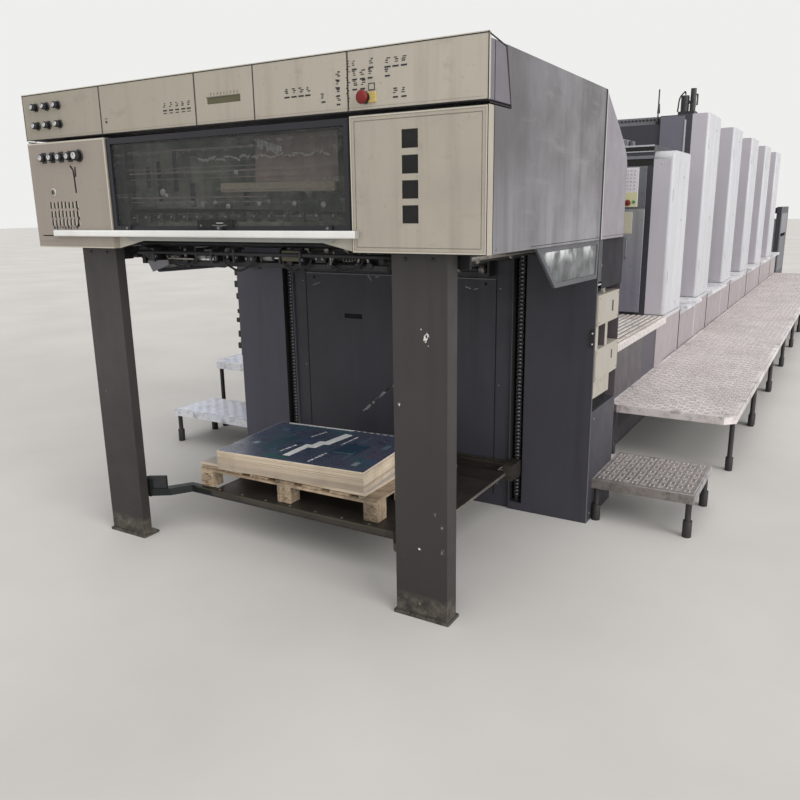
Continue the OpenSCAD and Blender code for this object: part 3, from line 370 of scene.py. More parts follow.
def paper_stack(name):
    """Cream edges of many sheets: fine level lines and slightly darker lots; the faces that look up take a pale
    greyish tone, the paper's white face with painted light in it.
    """
    s = Shader(name, 0.85)
    lines = s.noise(1.0, s.scaled(1.2, 1.2, 900), detail=2)
    lots = s.noise(1.0, s.scaled(0.8, 0.8, 42), detail=2)
    tone = s.mix(s.window(lines, 0.3, 0.7), srgb(204, 188, 164), srgb(232, 217, 194))
    tone = s.mix(s.window(lots, 0.45, 0.7, 0, 0.35), tone, srgb(190, 170, 144))
    tone = s.mix(s.window(s.noise(9), 0.52, 0.75, 0, 0.45), tone, srgb(164, 144, 120))
    tone = s.mix(s.window(s.noise(1.0, s.scaled(30, 30, 3), detail=4), 0.56, 0.74, 0, 0.3), tone, srgb(168, 148, 124))
    # Faces that look up get their own tone: the paper's white top face, toned by painted light.
    facing = s.tree.nodes.new("ShaderNodeNewGeometry").outputs["Normal"]
    split = s.tree.nodes.new("ShaderNodeSeparateXYZ")
    s.link(facing, split.inputs[0])
    s.colour(s.mix(s.window(split.outputs[2], 0.6, 0.9), tone, srgb(208, 199, 192)))
    s.bump(lines, 0.6, 0.0006)
    return s.mat


MAT = {
    "column_paint": column_enamel("column_paint"),
    "dark_paint": paint("dark_paint", srgb(61, 60, 67), srgb(42, 40, 43), streak=0.6, speck=0.2, rough=0.45,
                        shine=0.35),
    "grey_paint": side_enamel("grey_paint", srgb(86, 84, 88), srgb(138, 136, 140), srgb(82, 79, 79)),
    "pale_paint": paint("pale_paint", srgb(196, 196, 200), srgb(158, 154, 150), streak=0.3, speck=0.1,
                        rough=0.38, cloud=0.05),
    "fascia_paint": fascia_enamel("fascia_paint"),
    "guard_paint": paint("guard_paint", srgb(34, 34, 41), srgb(26, 30, 28), streak=0.7, rough=0.4, shine=0.4),
    "tinted_glass": glass("tinted_glass", srgb(44, 46, 44), 0.40, dust=0.4, wipe_scale=(1.6, 3, 46)),
    "handle_paint": paint("handle_paint", srgb(234, 234, 231), srgb(168, 164, 156), streak=0.2, rough=0.35),
    "window_frame_metal": paint("window_frame_metal", srgb(84, 85, 90), srgb(62, 60, 60), rough=0.5),
    "clear_glass": pane_glass("clear_glass"),
    "chain_steel": plain("chain_steel", srgb(60, 60, 63), rough=0.45, metal=0.7, cloud=0.5, grain=140),
    "black_steel": plain("black_steel", srgb(38, 38, 40), rough=0.45, metal=0.3, cloud=0.5, grain=50),
    "box_paint": paint("box_paint", srgb(172, 166, 156), srgb(138, 128, 114), streak=0.4, speck=0.3, rough=0.45),
    "black_plastic": plain("black_plastic", srgb(28, 28, 29), rough=0.4, grain=200),
    "stop_plastic": plain("stop_plastic", srgb(112, 32, 27), rough=0.45, cloud=0.2, grain=60, shine=0.3),
    "lift_steel": lift_rail("lift_steel"),
    "pallet_wood": wood("pallet_wood"),
    "paper": paper_stack("paper"),
    "tread_aluminium": tread_plate("tread_aluminium"),
    "feed_steel": steel("feed_steel", srgb(128, 130, 132), rough=0.3),
}


def two_tone(name, upper, lower, from_z, to_z):
    """Glossy enamel that goes from one tone to another over a height."""
    s = Shader(name, 0.3)
    tone = s.mix(s.window(s.part("Z"), from_z, to_z), lower, upper)
    runs = s.noise(1.0, s.scaled(14, 14, 0.8), detail=4)
    tone = s.mix(s.window(runs, 0.5, 0.75, 0, 0.3), tone, srgb(50, 48, 54))
    s.colour(tone)
    s.roughness(s.window(s.noise(7, detail=4), 0.3, 0.7, 0.22, 0.38))
    return s.mat


def flat(name, base, rough=0.6, metal=0.0):
    """Printed, worn or bare small areas: one tone with a fine grain in it."""
    return plain(name, base, rough, metal, cloud=0.08, grain=160)


MAT |= {
    "ink_dark": flat("ink_dark", srgb(30, 30, 35), 0.6),
    "ink_soft": flat("ink_soft", srgb(132, 124, 108), 0.6),
    # Black for dark gaps and joints, also used for painted shadows and for painted shade in gaps.
    "gap_black": flat("gap_black", srgb(24, 23, 22), 0.8),
    "rim_paint": flat("rim_paint", srgb(190, 184, 170), 0.5),
    "grip_slot_shade_olive": flat("grip_slot_shade_olive", srgb(88, 84, 62), 0.6),
    "chrome": plain("chrome", srgb(200, 200, 202), 0.18, 0.95, cloud=0.05),
    "knob_cap": flat("knob_cap", srgb(190, 190, 190), 0.4),
    "yellow_plate": flat("yellow_plate", srgb(194, 171, 98), 0.5),
    "square_glass": plain("square_glass", srgb(26, 25, 25), 0.3, cloud=0.5, grain=14, shine=0.22),
    "fascia_shade": flat("fascia_shade", srgb(188, 184, 172), 0.55),
    "rubber": flat("rubber", srgb(22, 22, 22), 0.8),
    "bolt_steel": plain("bolt_steel", srgb(120, 119, 118), 0.35, 0.85, cloud=0.3),
    "lip_grey": flat("lip_grey", srgb(150, 150, 146), 0.5),
    "grip_steel": plain("grip_steel", srgb(112, 113, 112), 0.4, 0.7, cloud=0.4, grain=60),
    "worn_steel": plain("worn_steel", srgb(128, 124, 118), 0.42, 0.7, cloud=0.45, grain=40),
    "chip_white": flat("chip_white", srgb(214, 212, 206), 0.7),
    "chip_grey": flat("chip_grey", srgb(126, 122, 116), 0.7),
    "chip_moss": flat("chip_moss", srgb(118, 116, 98), 0.8),
    # Black for dark joints and seams, and for sheets that paint the shade inside slots and recesses.
    "joint_black_and_slot_shade": flat("joint_black_and_slot_shade", srgb(16, 16, 16), 0.9),
    "edge_grey": flat("edge_grey", srgb(104, 103, 108), 0.5),
    "chain_roller": plain("chain_roller", srgb(150, 148, 150), rough=0.4, metal=0.5, cloud=0.3, grain=140),
    "scratch_grey": flat("scratch_grey", srgb(140, 140, 142), 0.6),
    "box_shade": flat("box_shade", srgb(172, 165, 142), 0.55),
    "paper_white": flat("paper_white", srgb(214, 214, 206), 0.5),
    "print_deep": flat("print_deep", srgb(42, 56, 68), 0.35),
    "print_teal": flat("print_teal", srgb(50, 80, 90), 0.35),
    "print_blue": flat("print_blue", srgb(50, 68, 92), 0.35),
    "print_mid": flat("print_mid", srgb(92, 116, 124), 0.35),
    "print_light": flat("print_light", srgb(140, 152, 160), 0.4),
    "wood_dark": flat("wood_dark", srgb(92, 76, 58), 0.9),
    "door_mauve": paint("door_mauve", srgb(75, 70, 74), srgb(56, 52, 56), streak=0.4, rough=0.4),
    "door_dark": flat("door_dark", srgb(74, 70, 78), 0.5),
    "cover_light": paint("cover_light", srgb(162, 152, 154), srgb(126, 118, 120), streak=0.25, speck=0.1, rough=0.4,
                         cloud=0.04),
    "panel_slate": paint("panel_slate", srgb(74, 75, 86), srgb(54, 54, 60), streak=0.4, rough=0.35),
    "panel_grey": paint("panel_grey", srgb(118, 118, 124), srgb(90, 88, 88), streak=0.4, rough=0.4),
    "panel_green": paint("panel_green", srgb(72, 78, 80), srgb(56, 60, 62), streak=0.3, rough=0.3),
    "panel_blue": paint("panel_blue", srgb(56, 57, 68), srgb(42, 42, 50), streak=0.3, rough=0.22),
    "panel_dark": paint("panel_dark", srgb(104, 105, 108), srgb(60, 60, 64), streak=0.4, rough=0.3),
    "coater_lower": two_tone("coater_lower", srgb(148, 149, 150), srgb(126, 123, 135), 0.9, 1.45),
    # Painted shade under the hood's overhang on the pillars' sides.
    "overhang_shade_mauve": paint("overhang_shade_mauve", srgb(23, 20, 28), srgb(18, 16, 20), streak=0.3, rough=0.8),
    "recess_brown": paint("recess_brown", srgb(92, 84, 87), srgb(66, 59, 61), streak=0.4, rough=0.7, shine=0.3),
    "panel_shade": paint("panel_shade", srgb(52, 52, 58), srgb(38, 37, 40), streak=0.4, rough=0.4),
    "box_slate": paint("box_slate", srgb(104, 102, 113), srgb(78, 76, 84), streak=0.35, rough=0.3),
    "edge_pale": flat("edge_pale", srgb(176, 178, 184), 0.4),
    "rear_paint": paint("rear_paint", srgb(135, 129, 136), srgb(112, 107, 110), streak=0.35, speck=0.1, rough=0.4,
                        cloud=0.06),
    "tread_shadow": flat("tread_shadow", srgb(92, 88, 84), 0.7),
    "roller_rubber": plain("roller_rubber", srgb(46, 44, 48), 0.35, cloud=0.2, grain=30),
    "seam_grey": flat("seam_grey", srgb(172, 170, 174), 0.6),
    "tower_front": paint("tower_front", srgb(192, 187, 193), srgb(164, 158, 162), streak=0.3, speck=0.1, rough=0.4,
                         cloud=0.04),
    "key_panel": flat("key_panel", srgb(208, 204, 208), 0.5),
    "key_ground": flat("key_ground", srgb(204, 200, 158), 0.5),
    "key_green": flat("key_green", srgb(70, 128, 84), 0.4),
    "key_red": flat("key_red", srgb(168, 52, 44), 0.4),
    # Stud tops and their sloping sides are lit and shaded copies of one metal: the darker side tones are painted
    # shade, the bright step top is a painted highlight, and the bluish cool pair carries a painted reflection.
    "stud_lit_top": plain("stud_lit_top", srgb(208, 200, 197), 0.45, 0.3, cloud=0.25, grain=30),
    "stud_shaded_side": plain("stud_shaded_side", srgb(104, 98, 97), 0.6, 0.2, cloud=0.4, grain=30),
    "stud_warm": plain("stud_warm", srgb(244, 236, 233), 0.45, 0.2, cloud=0.1, grain=30),
    "stud_warm_shaded_side": plain("stud_warm_shaded_side", srgb(146, 138, 137), 0.6, 0.2, cloud=0.4, grain=30),
    "stud_cool": plain("stud_cool", srgb(250, 251, 254), 0.45, 0.2, cloud=0.1, grain=30),
    "stud_cool_shaded_side": plain("stud_cool_shaded_side", srgb(218, 221, 234), 0.6, 0.2, cloud=0.2, grain=30),
    "tape_belt": flat("tape_belt", srgb(186, 180, 160), 0.7),
    "bottle_white": flat("bottle_white", srgb(214, 214, 210), 0.35),
    "print_ink": print_ink("print_ink"),
    "print_blue_bright": flat("print_blue_bright", srgb(40, 66, 88), 0.3),
    "print_green": flat("print_green", srgb(48, 92, 90), 0.3),
    "print_red": flat("print_red", srgb(120, 66, 76), 0.35),
    "print_pale": flat("print_pale", srgb(248, 248, 246), 0.4),
    "rail_olive": steel("rail_olive", srgb(86, 83, 70), grain=(3, 60, 60), rough=0.5, stain=srgb(52, 48, 42)),
    "hook_mauve": steel("hook_mauve", srgb(84, 78, 84), grain=(60, 60, 3), rough=0.5, stain=srgb(52, 48, 52)),
    "glow_beige": flat("glow_beige", srgb(236, 222, 200), 0.6),
    "haze_brown": dim_shapes("haze_brown", srgb(186, 168, 164), srgb(238, 220, 212), 7),
    "haze_green": dim_shapes("haze_green", srgb(116, 128, 114), srgb(220, 220, 206), 6),
    "haze_dark": flat("haze_dark", srgb(70, 72, 76), 0.8),
    "glint": flat("glint", srgb(244, 244, 240), 0.4),
    "console_end": paint("console_end", srgb(102, 98, 106), srgb(84, 78, 82), streak=0.4, rough=0.4),
    "pillar_blue": paint("pillar_blue", srgb(76, 76, 90), srgb(56, 55, 64), streak=0.5, speck=0.2, rough=0.42),
    "platform_pale": tread_plate("platform_pale", 0.0, (1.26, 1.2, 1.16)),
    "board_pale": tread_plate("board_pale", 0.0, (1.34, 1.32, 1.36)),
    "platform_gap": flat("platform_gap", srgb(124, 117, 112), 0.8),
}


def soften(obj, width=0.0025, segments=2, angle=40):
    """Rounds a piece's hard edges with real faces."""
    weld = obj.modifiers.new("weld", "WELD")
    weld.merge_threshold = 0.00002
    bevel = obj.modifiers.new("edges", "BEVEL")
    bevel.width = width
    bevel.segments = segments
    bevel.limit_method = "ANGLE"
    bevel.angle_limit = math.radians(angle)
    bevel.harden_normals = True


def dress_cad():
    """Each CAD node takes the material of its own slot in the record, except the nodes listed below that get their own
    paint or tread, and all but a few small ones get softened edges.
    """
    small = {"lift_chains", "selector_knobs", "fan_bar", "delivery_bars"}
    # These tints make lit and shaded copies of one aluminium tread: painted light on the galleries and the left step,
    # bluer on the left as a painted reflection, and painted shade on the right step.
    walkway_light_and_shade_tints = {"gallery_right": (1.23, 1.18, 1.17), "gallery_left": (1.26, 1.26, 1.34),
                "step_right": (0.73, 0.69, 0.67), "step_left": (1.36, 1.38, 1.45)}
    own = {"hood_rear_cover": "rear_paint", "strip_console": "console_end", "rear_pillar_left": "pillar_blue",
           "upper_platforms": "platform_gap", "footboards": "board_pale"}
    for sub in frame["record"]["subparts"]:
        name = sub["node"]
        obj = frame["nodes"][name]
        obj.data.materials.clear()
        if name in own:
            obj.data.materials.append(MAT[own[name]])
        elif name in walkway_light_and_shade_tints:
            obj.data.materials.append(tread_plate(name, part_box(name)[1].z - 0.0445, walkway_light_and_shade_tints[name]))
        else:
            obj.data.materials.append(MAT[sub["material_slot"]])
        if sub["node"] not in small:
            soften(obj)


# Building pieces: everything below is in millimetres, measured across the press from its middle,
# along it from the hood's front, and up from the floor

STAY = "press"
PILE = "pile_lift"
GUARD = "guard"
CHAIN_PITCH = 19.05
HOUSING_HALF = 480  # half of the chain housing's width above the platforms


def span(node):
    """The low and the high corner of a CAD node, in these millimetres."""
    low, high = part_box(node)
    return (Vector((p.x, p.y - FRONT, p.z)) / MM for p in (low, high))


class Piece:
    """A mesh made of simple solids, each with its own material, that becomes one object."""

    def __init__(self, name):
        self.name = name
        self.bm = bmesh.new()
        self.mats = []

    def tag(self, faces, mat, smooth=False):
        if mat not in self.mats:
            self.mats.append(mat)
        for f in faces:
            f.material_index = self.mats.index(mat)
            f.smooth = smooth

    def block(self, low, high, mat, round_by=0.0, turn=None):
        """A box from its low to its high corner, with its edges rounded where asked."""
        low, high = Vector(low), Vector(high)
        made = bmesh.ops.create_cube(self.bm, size=1.0)
        verts = made["verts"]
        middle = (low + high) / 2
        size = high - low
        for v in verts:
            v.co = Vector((v.co.x * size.x, v.co.y * size.y, v.co.z * size.z))
            if turn:
                v.co = turn @ v.co
            v.co += middle
        faces = list({f for v in verts for f in v.link_faces})
        self.tag(faces, mat)
        if round_by:
            edges = list({e for f in faces for e in f.edges})
            bmesh.ops.bevel(self.bm, geom=edges, offset=round_by, segments=2, affect="EDGES", profile=0.5,
                            material=-1)

    def rod(self, a, b, r, mat, sides=20, r2=None):
        """A round rod or cone from a to b."""
        a, b = Vector(a), Vector(b)
        place = Matrix.Translation((a + b) / 2) @ (b - a).to_track_quat("Z", "Y").to_matrix().to_4x4()
        made = bmesh.ops.create_cone(self.bm, cap_ends=True, segments=sides, radius1=r,
                                     radius2=r if r2 is None else r2, depth=(b - a).length, matrix=place)
        faces = {f for v in made["verts"] for f in v.link_faces}
        self.tag([f for f in faces if len(f.verts) == 4], mat, True)
        self.tag([f for f in faces if len(f.verts) != 4], mat)

    def turned(self, centre, axis, profile, mat, sides=32):
        """A turned solid: (place along the axis, radius) pairs, closed at both ends."""
        turn = Vector(axis).to_track_quat("Z", "Y").to_matrix()
        rings = []
        for along, r in profile:
            ring = []
            for k in range(sides):
                a = math.tau * k / sides
                ring.append(self.bm.verts.new(Vector(centre) + turn @ Vector((r * math.cos(a), r * math.sin(a), along))))
            rings.append(ring)
        faces = []
        for lower, upper in zip(rings, rings[1:]):
            for k in range(sides):
                n = (k + 1) % sides
                faces.append(self.bm.faces.new((lower[k], lower[n], upper[n], upper[k])))
        caps = [self.bm.faces.new(list(reversed(rings[0]))), self.bm.faces.new(rings[-1])]
        self.tag(faces, mat, True)
        self.tag(caps, mat)

    def prism(self, outline, axis, a, b, mat):
        """An outline in the two other directions, stretched along an axis from a to b."""
        order = {"x": (1, 2, 0), "y": (0, 2, 1), "z": (0, 1, 2)}[axis]
        ends = []
        for along in (a, b):
            ring = []
            for p, q in outline:
                co = [0.0, 0.0, 0.0]
                co[order[0]], co[order[1]], co[order[2]] = p, q, along
                ring.append(self.bm.verts.new(co))
            ends.append(ring)
        n = len(outline)
        faces = [self.bm.faces.new((ends[0][k], ends[0][(k + 1) % n], ends[1][(k + 1) % n], ends[1][k]))
                 for k in range(n)]
        faces += [self.bm.faces.new(ends[0]), self.bm.faces.new(ends[1])]
        bmesh.ops.recalc_face_normals(self.bm, faces=faces)
        self.tag(faces, mat)

    def pipe(self, points, r, mat, sides=10):
        """A bent round rod through points, with its bends filled by short steps."""
        path = smooth_path([Vector(p) for p in points])
        rings = []
        side = None
        for i, p in enumerate(path):
            ahead = (path[min(i + 1, len(path) - 1)] - path[max(i - 1, 0)]).normalized()
            if side is None:
                side = ahead.orthogonal().normalized()
            side = (side - ahead * side.dot(ahead)).normalized()
            up = ahead.cross(side)
            rings.append([self.bm.verts.new(p + r * (math.cos(math.tau * k / sides) * side
                                                     + math.sin(math.tau * k / sides) * up)) for k in range(sides)])
        faces = []
        for lower, upper in zip(rings, rings[1:]):
            for k in range(sides):
                n = (k + 1) % sides
                faces.append(self.bm.faces.new((lower[k], lower[n], upper[n], upper[k])))
        caps = [self.bm.faces.new(list(reversed(rings[0]))), self.bm.faces.new(rings[-1])]
        self.tag(faces, mat, True)
        self.tag(caps, mat)

    def bump(self, low, high, rise, taper, mat, shaded_side_mat):
        """A low raised bar with sloping sides and no underside; its sides take their own material, which paints their
        shade.
        """
        x0, y0, z = low
        x1, y1 = high
        base = [self.bm.verts.new(c) for c in ((x0, y0, z), (x1, y0, z), (x1, y1, z), (x0, y1, z))]
        top = [self.bm.verts.new(c) for c in ((x0 + taper, y0 + taper, z + rise), (x1 - taper, y0 + taper, z + rise),
                                              (x1 - taper, y1 - taper, z + rise), (x0 + taper, y1 - taper, z + rise))]
        self.tag([self.bm.faces.new(top)], mat)
        self.tag([self.bm.faces.new((base[k], base[(k + 1) % 4], top[(k + 1) % 4], top[k])) for k in range(4)], shaded_side_mat)

    def finish(self, body=STAY, replaces=()):
        """Turns the solids into an object in the frame's metres that moves with a body."""
        place = Matrix.Translation((0, FRONT, 0)) @ Matrix.Diagonal((MM, MM, MM, 1))
        bmesh.ops.transform(self.bm, matrix=place, verts=self.bm.verts)
        mesh = bpy.data.meshes.new(self.name)
        self.bm.to_mesh(mesh)
        self.bm.free()
        for m in self.mats:
            mesh.materials.append(MAT[m])
        obj = bpy.data.objects.new(self.name, mesh)
        bpy.context.scene.collection.objects.link(obj)
        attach(obj, body)
        for node in replaces:
            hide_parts(node)
        return obj


def smooth_path(points, bend=0.3, steps=5):
    """Rounds the corners of a path of points."""
    out = [points[0]]
    for a, b, c in zip(points, points[1:], points[2:]):
        start, end = b.lerp(a, bend), b.lerp(c, bend)
        for k in range(steps + 1):
            t = k / steps
            out.append(start.lerp(b, t).lerp(b.lerp(end, t), t))
    out.append(points[-1])
    return out


def both(x):
    return (-x, x)


def stroke(piece, axis, depth, p, q, wide, mat):
    """A thin line from p to q on a flat face that looks along an axis."""
    p, q = Vector(p), Vector(q)
    aside = Vector((p.y - q.y, q.x - p.x)).normalized() * wide / 2
    piece.prism([tuple(p + aside), tuple(q + aside), tuple(q - aside), tuple(p - aside)], axis, *depth, mat)


# Delivery: console, panels and guard

def button(piece, x, z, wide=20):
    """A membrane key: a short dark bar under a small sign made of bars."""
    piece.block((x - wide / 2, -0.7, z - 17), (x + wide / 2, 0.2, z - 12), "ink_dark")
    for k in range(3):
        w = rng.uniform(7, 14)
        dx = rng.uniform(-5, 5)
        piece.block((x + dx - w / 2, -0.5, z + k * 6 - 3), (x + dx + w / 2, 0.2, z + k * 6 + rng.uniform(-0.5, 1)),
                    "ink_dark")


def strip_keys():
    """Groups of keys on the console's fascia, its top fold and its lower fold."""
    low, high = span("control_strip")
    piece = Piece("strip_keys")
    top = high.z
    for x in (-236, -204, -172, -140, -112):
        button(piece, x, top - 108)
        piece.block((x - 9, -0.5, top - 134), (x + 9, 0.2, top - 131), "ink_dark")
    for x in (348, 378, 408, 436):
        button(piece, x, top - 108, 22)
    button(piece, 499, top - 134, 16)
    for z in (73, 96, 120, 146):
        button(piece, 559, top - z, 14)
    for x, z in ((624, 46), (687, 46), (624, 76), (654, 76), (683, 76), (624, 106), (654, 106)):
        button(piece, x, top - z, 18)
    piece.block((676, -1.2, top - 128), (700, 0.2, top - 106), "ink_dark")
    piece.block((679, -1.6, top - 125), (697, -1.0, top - 109), "fascia_paint")
    for x in (748, 777, 807):
        button(piece, x, top - 50, 22)
    button(piece, 747, top - 76, 18)
    for x in (775, 806):
        button(piece, x, top - 140, 18)
    for k in range(9):
        piece.block((-2 + k * 16, -0.5, top - 88), (rng.uniform(2, 5) + k * 16, 0.2, top - rng.uniform(78, 82)),
                    "ink_soft")
    piece.block((-577, -0.6, top - 130), (-561, 0.2, top - 128), "ink_dark")
    piece.block((-574, -0.6, top - 146), (-564, 0.2, top - 137), "ink_dark")
    piece.block((-560, -0.4, top - 4.6), (high.x - 60, 0.3, top - 3.2), "gap_black")
    piece.block((low.x + 10, -0.4, low.z + 9), (high.x - 20, 0.3, low.z + 9.8), "ink_soft")
    piece.block((low.x, -0.8, top - 3), (high.x, 0.2, top), "rim_paint")
    piece.block((low.x, -0.9, low.z - 1.6), (high.x, 0.3, low.z + 1.4), "gap_black")
    piece.block((low.x, -0.9, top - 6), (high.x, 0.3, top - 3.2), "gap_black")
    for x in both(high.x - 1.6):
        piece.block((x - 1.4, -0.9, low.z), (x + 1.4, 0.3, top), "gap_black")
    # A darker olive sheet on the grip slot's floor paints the shade inside the slot.
    piece.block((-22, 5.2, low.z + 69), (137, 6.2, low.z + 91), "grip_slot_shade_olive")
    for x in (-600, -79, 202, 598):
        piece.block((x - 1.4, -0.6, low.z + 3), (x + 1.4, 0.3, top - 6), "gap_black")
    for k in range(16):
        x = 598 + rng.choice((-4, 4)) * (k % 2)
        z = low.z + 30 + k * 8
        piece.block((x - rng.uniform(2, 5), -0.6, z), (x + rng.uniform(2, 5), 0.3, z + 2.4), "ink_dark")
    piece.finish()


def knob(piece, x, z, r, out, face, cap):
    """A turning knob with a skirt, a ribbed grip and a cap with a pointer."""
    piece.turned((x, face, z), (0, -1, 0), ((0, r * 1.35), (2, r * 1.35), (4, r * 1.15), (5, r)), "black_plastic", 28)
    ribs = 14
    for k in range(ribs):
        a = math.tau * k / ribs
        piece.rod((x + r * 0.92 * math.cos(a), face - 4, z + r * 0.92 * math.sin(a)),
                  (x + r * 0.88 * math.cos(a), face - out + 2, z + r * 0.88 * math.sin(a)), r * 0.16,
                  "black_plastic", 6)
    piece.rod((x, face - 4, z), (x, face - out, z), r * 0.86, "black_plastic", 28)
    piece.turned((x, face - out + 0.5, z), (0, -1, 0), ((0, r * 0.74), (1.6, r * 0.7), (2.2, r * 0.6)), cap, 28)
    piece.block((x - 1, face - out - 2.4, z), (x + 1, face - out - 1.2, z + r * 0.6), "ink_dark")


def knobs():
    """Six selectors on the console and a row of five on the left panel."""
    low, high = span("selector_knobs")
    piece = Piece("selectors")
    upper = span("control_strip")
    strip_z = next(upper).z
    for x in (low.x + 18, low.x + 91, low.x + 164):
        for z in (strip_z + 55, strip_z + 129):
            knob(piece, x, z, 13, 27, 0, "chrome")
    row_z = low.z + 26
    for k in range(5):
        last = k == 4
        knob(piece, low.x + 30 + k * 58, row_z, 19 if last else 15, 30 if last else 22, 0, "knob_cap")
        piece.block((low.x + 14 + k * 58, -1.5, row_z - 22), (low.x + 46 + k * 58, 0.2, row_z + 22), "black_plastic",
                    0.6)
    piece.finish(replaces=("selector_knobs",))


def stop_button():
    """A mushroom button with a collar, and the small plate beside it."""
    low, high = span("emergency_stop")
    piece = Piece("stop_button")
    z = (low.z + high.z) / 2
    x = low.x + 22
    piece.turned((x, 0, z), (0, -1, 0), ((0, 19), (3, 19), (5, 16), (6, 13)), "black_plastic")
    piece.rod((x, -5, z), (x, -22, z), 10, "black_plastic", 24)
    piece.turned((x, -20, z), (0, -1, 0), ((0, 15), (2, 20.5), (6, 21.5), (10, 19), (13, 13.5), (14, 5)), "stop_plastic")
    piece.block((x + 8, -4, z - 16), (high.x, 0.2, z + 16), "yellow_plate", 1.0)
    for dz in both(11):
        piece.rod((high.x - 5, -3.5, z + dz), (high.x - 5, -5, z + dz), 2, "chrome", 12)
    piece.finish(replaces=("emergency_stop",))


def panel_trim():
    """Rim and dark glazed squares of the right panel; slots and fold of the left panel."""
    low, high = span("front_panel_right")
    piece = Piece("right_panel_trim")
    for inset, wide, mat in ((0.0, 2.4, "gap_black"), (2.4, 4.6, "rim_paint"), (7.0, 1.2, "ink_soft")):
        a, b = inset, inset + wide
        for x0, z0, x1, z1 in ((a, a, None, b), (a, -b, None, -a), (a, b, b, -b), (-b, b, -a, -b)):
            left = low.x + x0 if x0 >= 0 else high.x + x0
            right = high.x - a if x1 is None else (low.x + x1 if x1 > 0 else high.x + x1)
            foot = low.z + z0 if z0 >= 0 else high.z + z0
            head = low.z + z1 if z1 > 0 else high.z + z1
            piece.block((left, -0.8, foot), (right, 0.3, head), mat)
    for k in range(4):
        z = low.z + 97 + k * 77
        piece.block((low.x + 198.5, 1.5, z + 1.5), (low.x + 255.5, 5.8, z + 55.5), "square_glass", 0.5)
    piece.finish()

    low, high = span("front_panel_left")
    piece = Piece("left_panel_trim")
    piece.block((low.x + 32, -0.6, low.z + 48), (low.x + 117, 0.3, low.z + 54), "gap_black")
    piece.block((low.x + 30, -0.9, low.z + 54), (low.x + 119, 0.3, low.z + 55.5), "rim_paint")
    piece.block((low.x + 2, -0.6, low.z + 25), (low.x + 150, 0.3, low.z + 27), "ink_soft")
    piece.block((low.x + 4, -3.5, low.z), (high.x - 4, 0.3, low.z + 5), "rim_paint", 0.5)
    piece.block((high.x - 7, -0.8, low.z + 60), (high.x - 0.5, 0.3, high.z), "rim_paint", 0.3)
    piece.block((low.x, -0.8, high.z - 7), (high.x - 7, 0.3, high.z), "rim_paint", 0.3)
    face = (-0.6, 0.3)
    latch = ((-824, 1696), (-807, 1678), (-804, 1643), (-802, 1585))
    for (a, b), wide in zip(zip(latch, latch[1:]), (8, 9, 9)):
        stroke(piece, "y", face, a, b, wide, "gap_black")
    for p, q in (((-793, 1690), (-795, 1650)), ((-808, 1552), (-804, 1516)), ((-806, 1508), (-801, 1470)),
                 ((-804, 1462), (-818, 1446))):
        stroke(piece, "y", face, p, q, 9, "gap_black")
    # Dark bars beside each louvre slot paint the shadows of the raised louvre lips.
    for row, (z0, z1) in enumerate(((1522, 1552), (1484, 1515), (1450, 1478))):
        for k in range(8):
            x = 3.5 - 983 + k * 24.5
            stroke(piece, "y", face, (x - 1, z0 + rng.uniform(0, 4)), (x + 1, z1 - rng.uniform(0, 4)), 9, "gap_black")
            piece.block((x + 6, -0.9, z0 + 3), (x + 9, 0.3, z1 - 3), "rim_paint")
    for k in range(9):
        x = -979 + k * 19
        piece.block((x, -0.6, 1438 + rng.uniform(-3, 3)), (x + rng.uniform(6, 12), 0.3, 1446 + rng.uniform(-3, 4)),
                    "ink_dark")
    piece.turned((-952, 0.2, 1591), (0, -1, 0), ((0, 17), (2, 17), (3, 14)), "rim_paint", 28)
    piece.turned((-952, -2.4, 1591), (0, -1, 0), ((0, 12), (2.5, 11), (3, 8)), "grip_steel", 24)
    piece.block((-955, -6.4, 1584), (-949, -5, 1598), "gap_black")
    piece.finish()


def corner_gussets():
    """Sheet gussets in the lower corners of the opening, behind the guard."""
    low, high = span("guard_frame")
    edge = span("front_panel_right")
    inner = next(edge).x
    piece = Piece("corner_gussets")
    for side in (-1, 1):
        outline = [(side * inner, low.z - 68), (side * inner, low.z - 20), (side * (inner - 165), low.z - 20),
                   (side * (inner - 150), low.z - 36)]
        piece.prism(outline, "y", 28, 31, "fascia_shade")
    piece.finish()


def guard_parts():
    """Latch, edge strips and the bright lip below the handle, all on the guard."""
    low, high = span("guard_frame")
    piece = Piece("guard_fittings")
    piece.block((-112, -5, low.z + 14), (66, low.y + 1, low.z + 46), "rubber", 2)
    piece.block((-20, -8, low.z + 22), (54, -4, low.z + 41), "rubber", 2)
    piece.block((-8, -9, low.z + 32), (26, -7.8, low.z + 34), "chip_white", 0.3)
    piece.prism([(-30, low.z + 24), (6, low.z + 20), (44, low.z + 24), (40, low.z + 27), (6, low.z + 23.5),
                 (-26, low.z + 27)], "y", -9, -7.8, "grip_steel")
    piece.rod((-90, -4.5, low.z + 24), (-90, -6.5, low.z + 24), 4, "bolt_steel", 12)
    wide = tuple(span("guard_glass"))[1].x + 20.5
    piece.block((-wide, low.y - 0.6, low.z + 1), (wide, low.y + 0.4, low.z + 3.5), "gap_black")
    for x in (-wide, wide - 3):
        piece.block((x, low.y - 0.8, low.z + 4), (x + 3, low.y + 0.4, high.z - 3), "gap_black")
    piece.prism([(25 - wide, low.z - 2), (wide - 45, low.z - 2), (wide - 85, low.z - 36), (85 - wide, low.z - 36)],
                "y", low.y + 2, low.y + 6, "lip_grey")
    piece.prism([(25 - wide, low.z - 3), (wide - 45, low.z - 3), (wide - 62, low.z - 14), (62 - wide, low.z - 14)],
                "y", low.y + 1, low.y + 3, "edge_pale")
    piece.finish(GUARD)


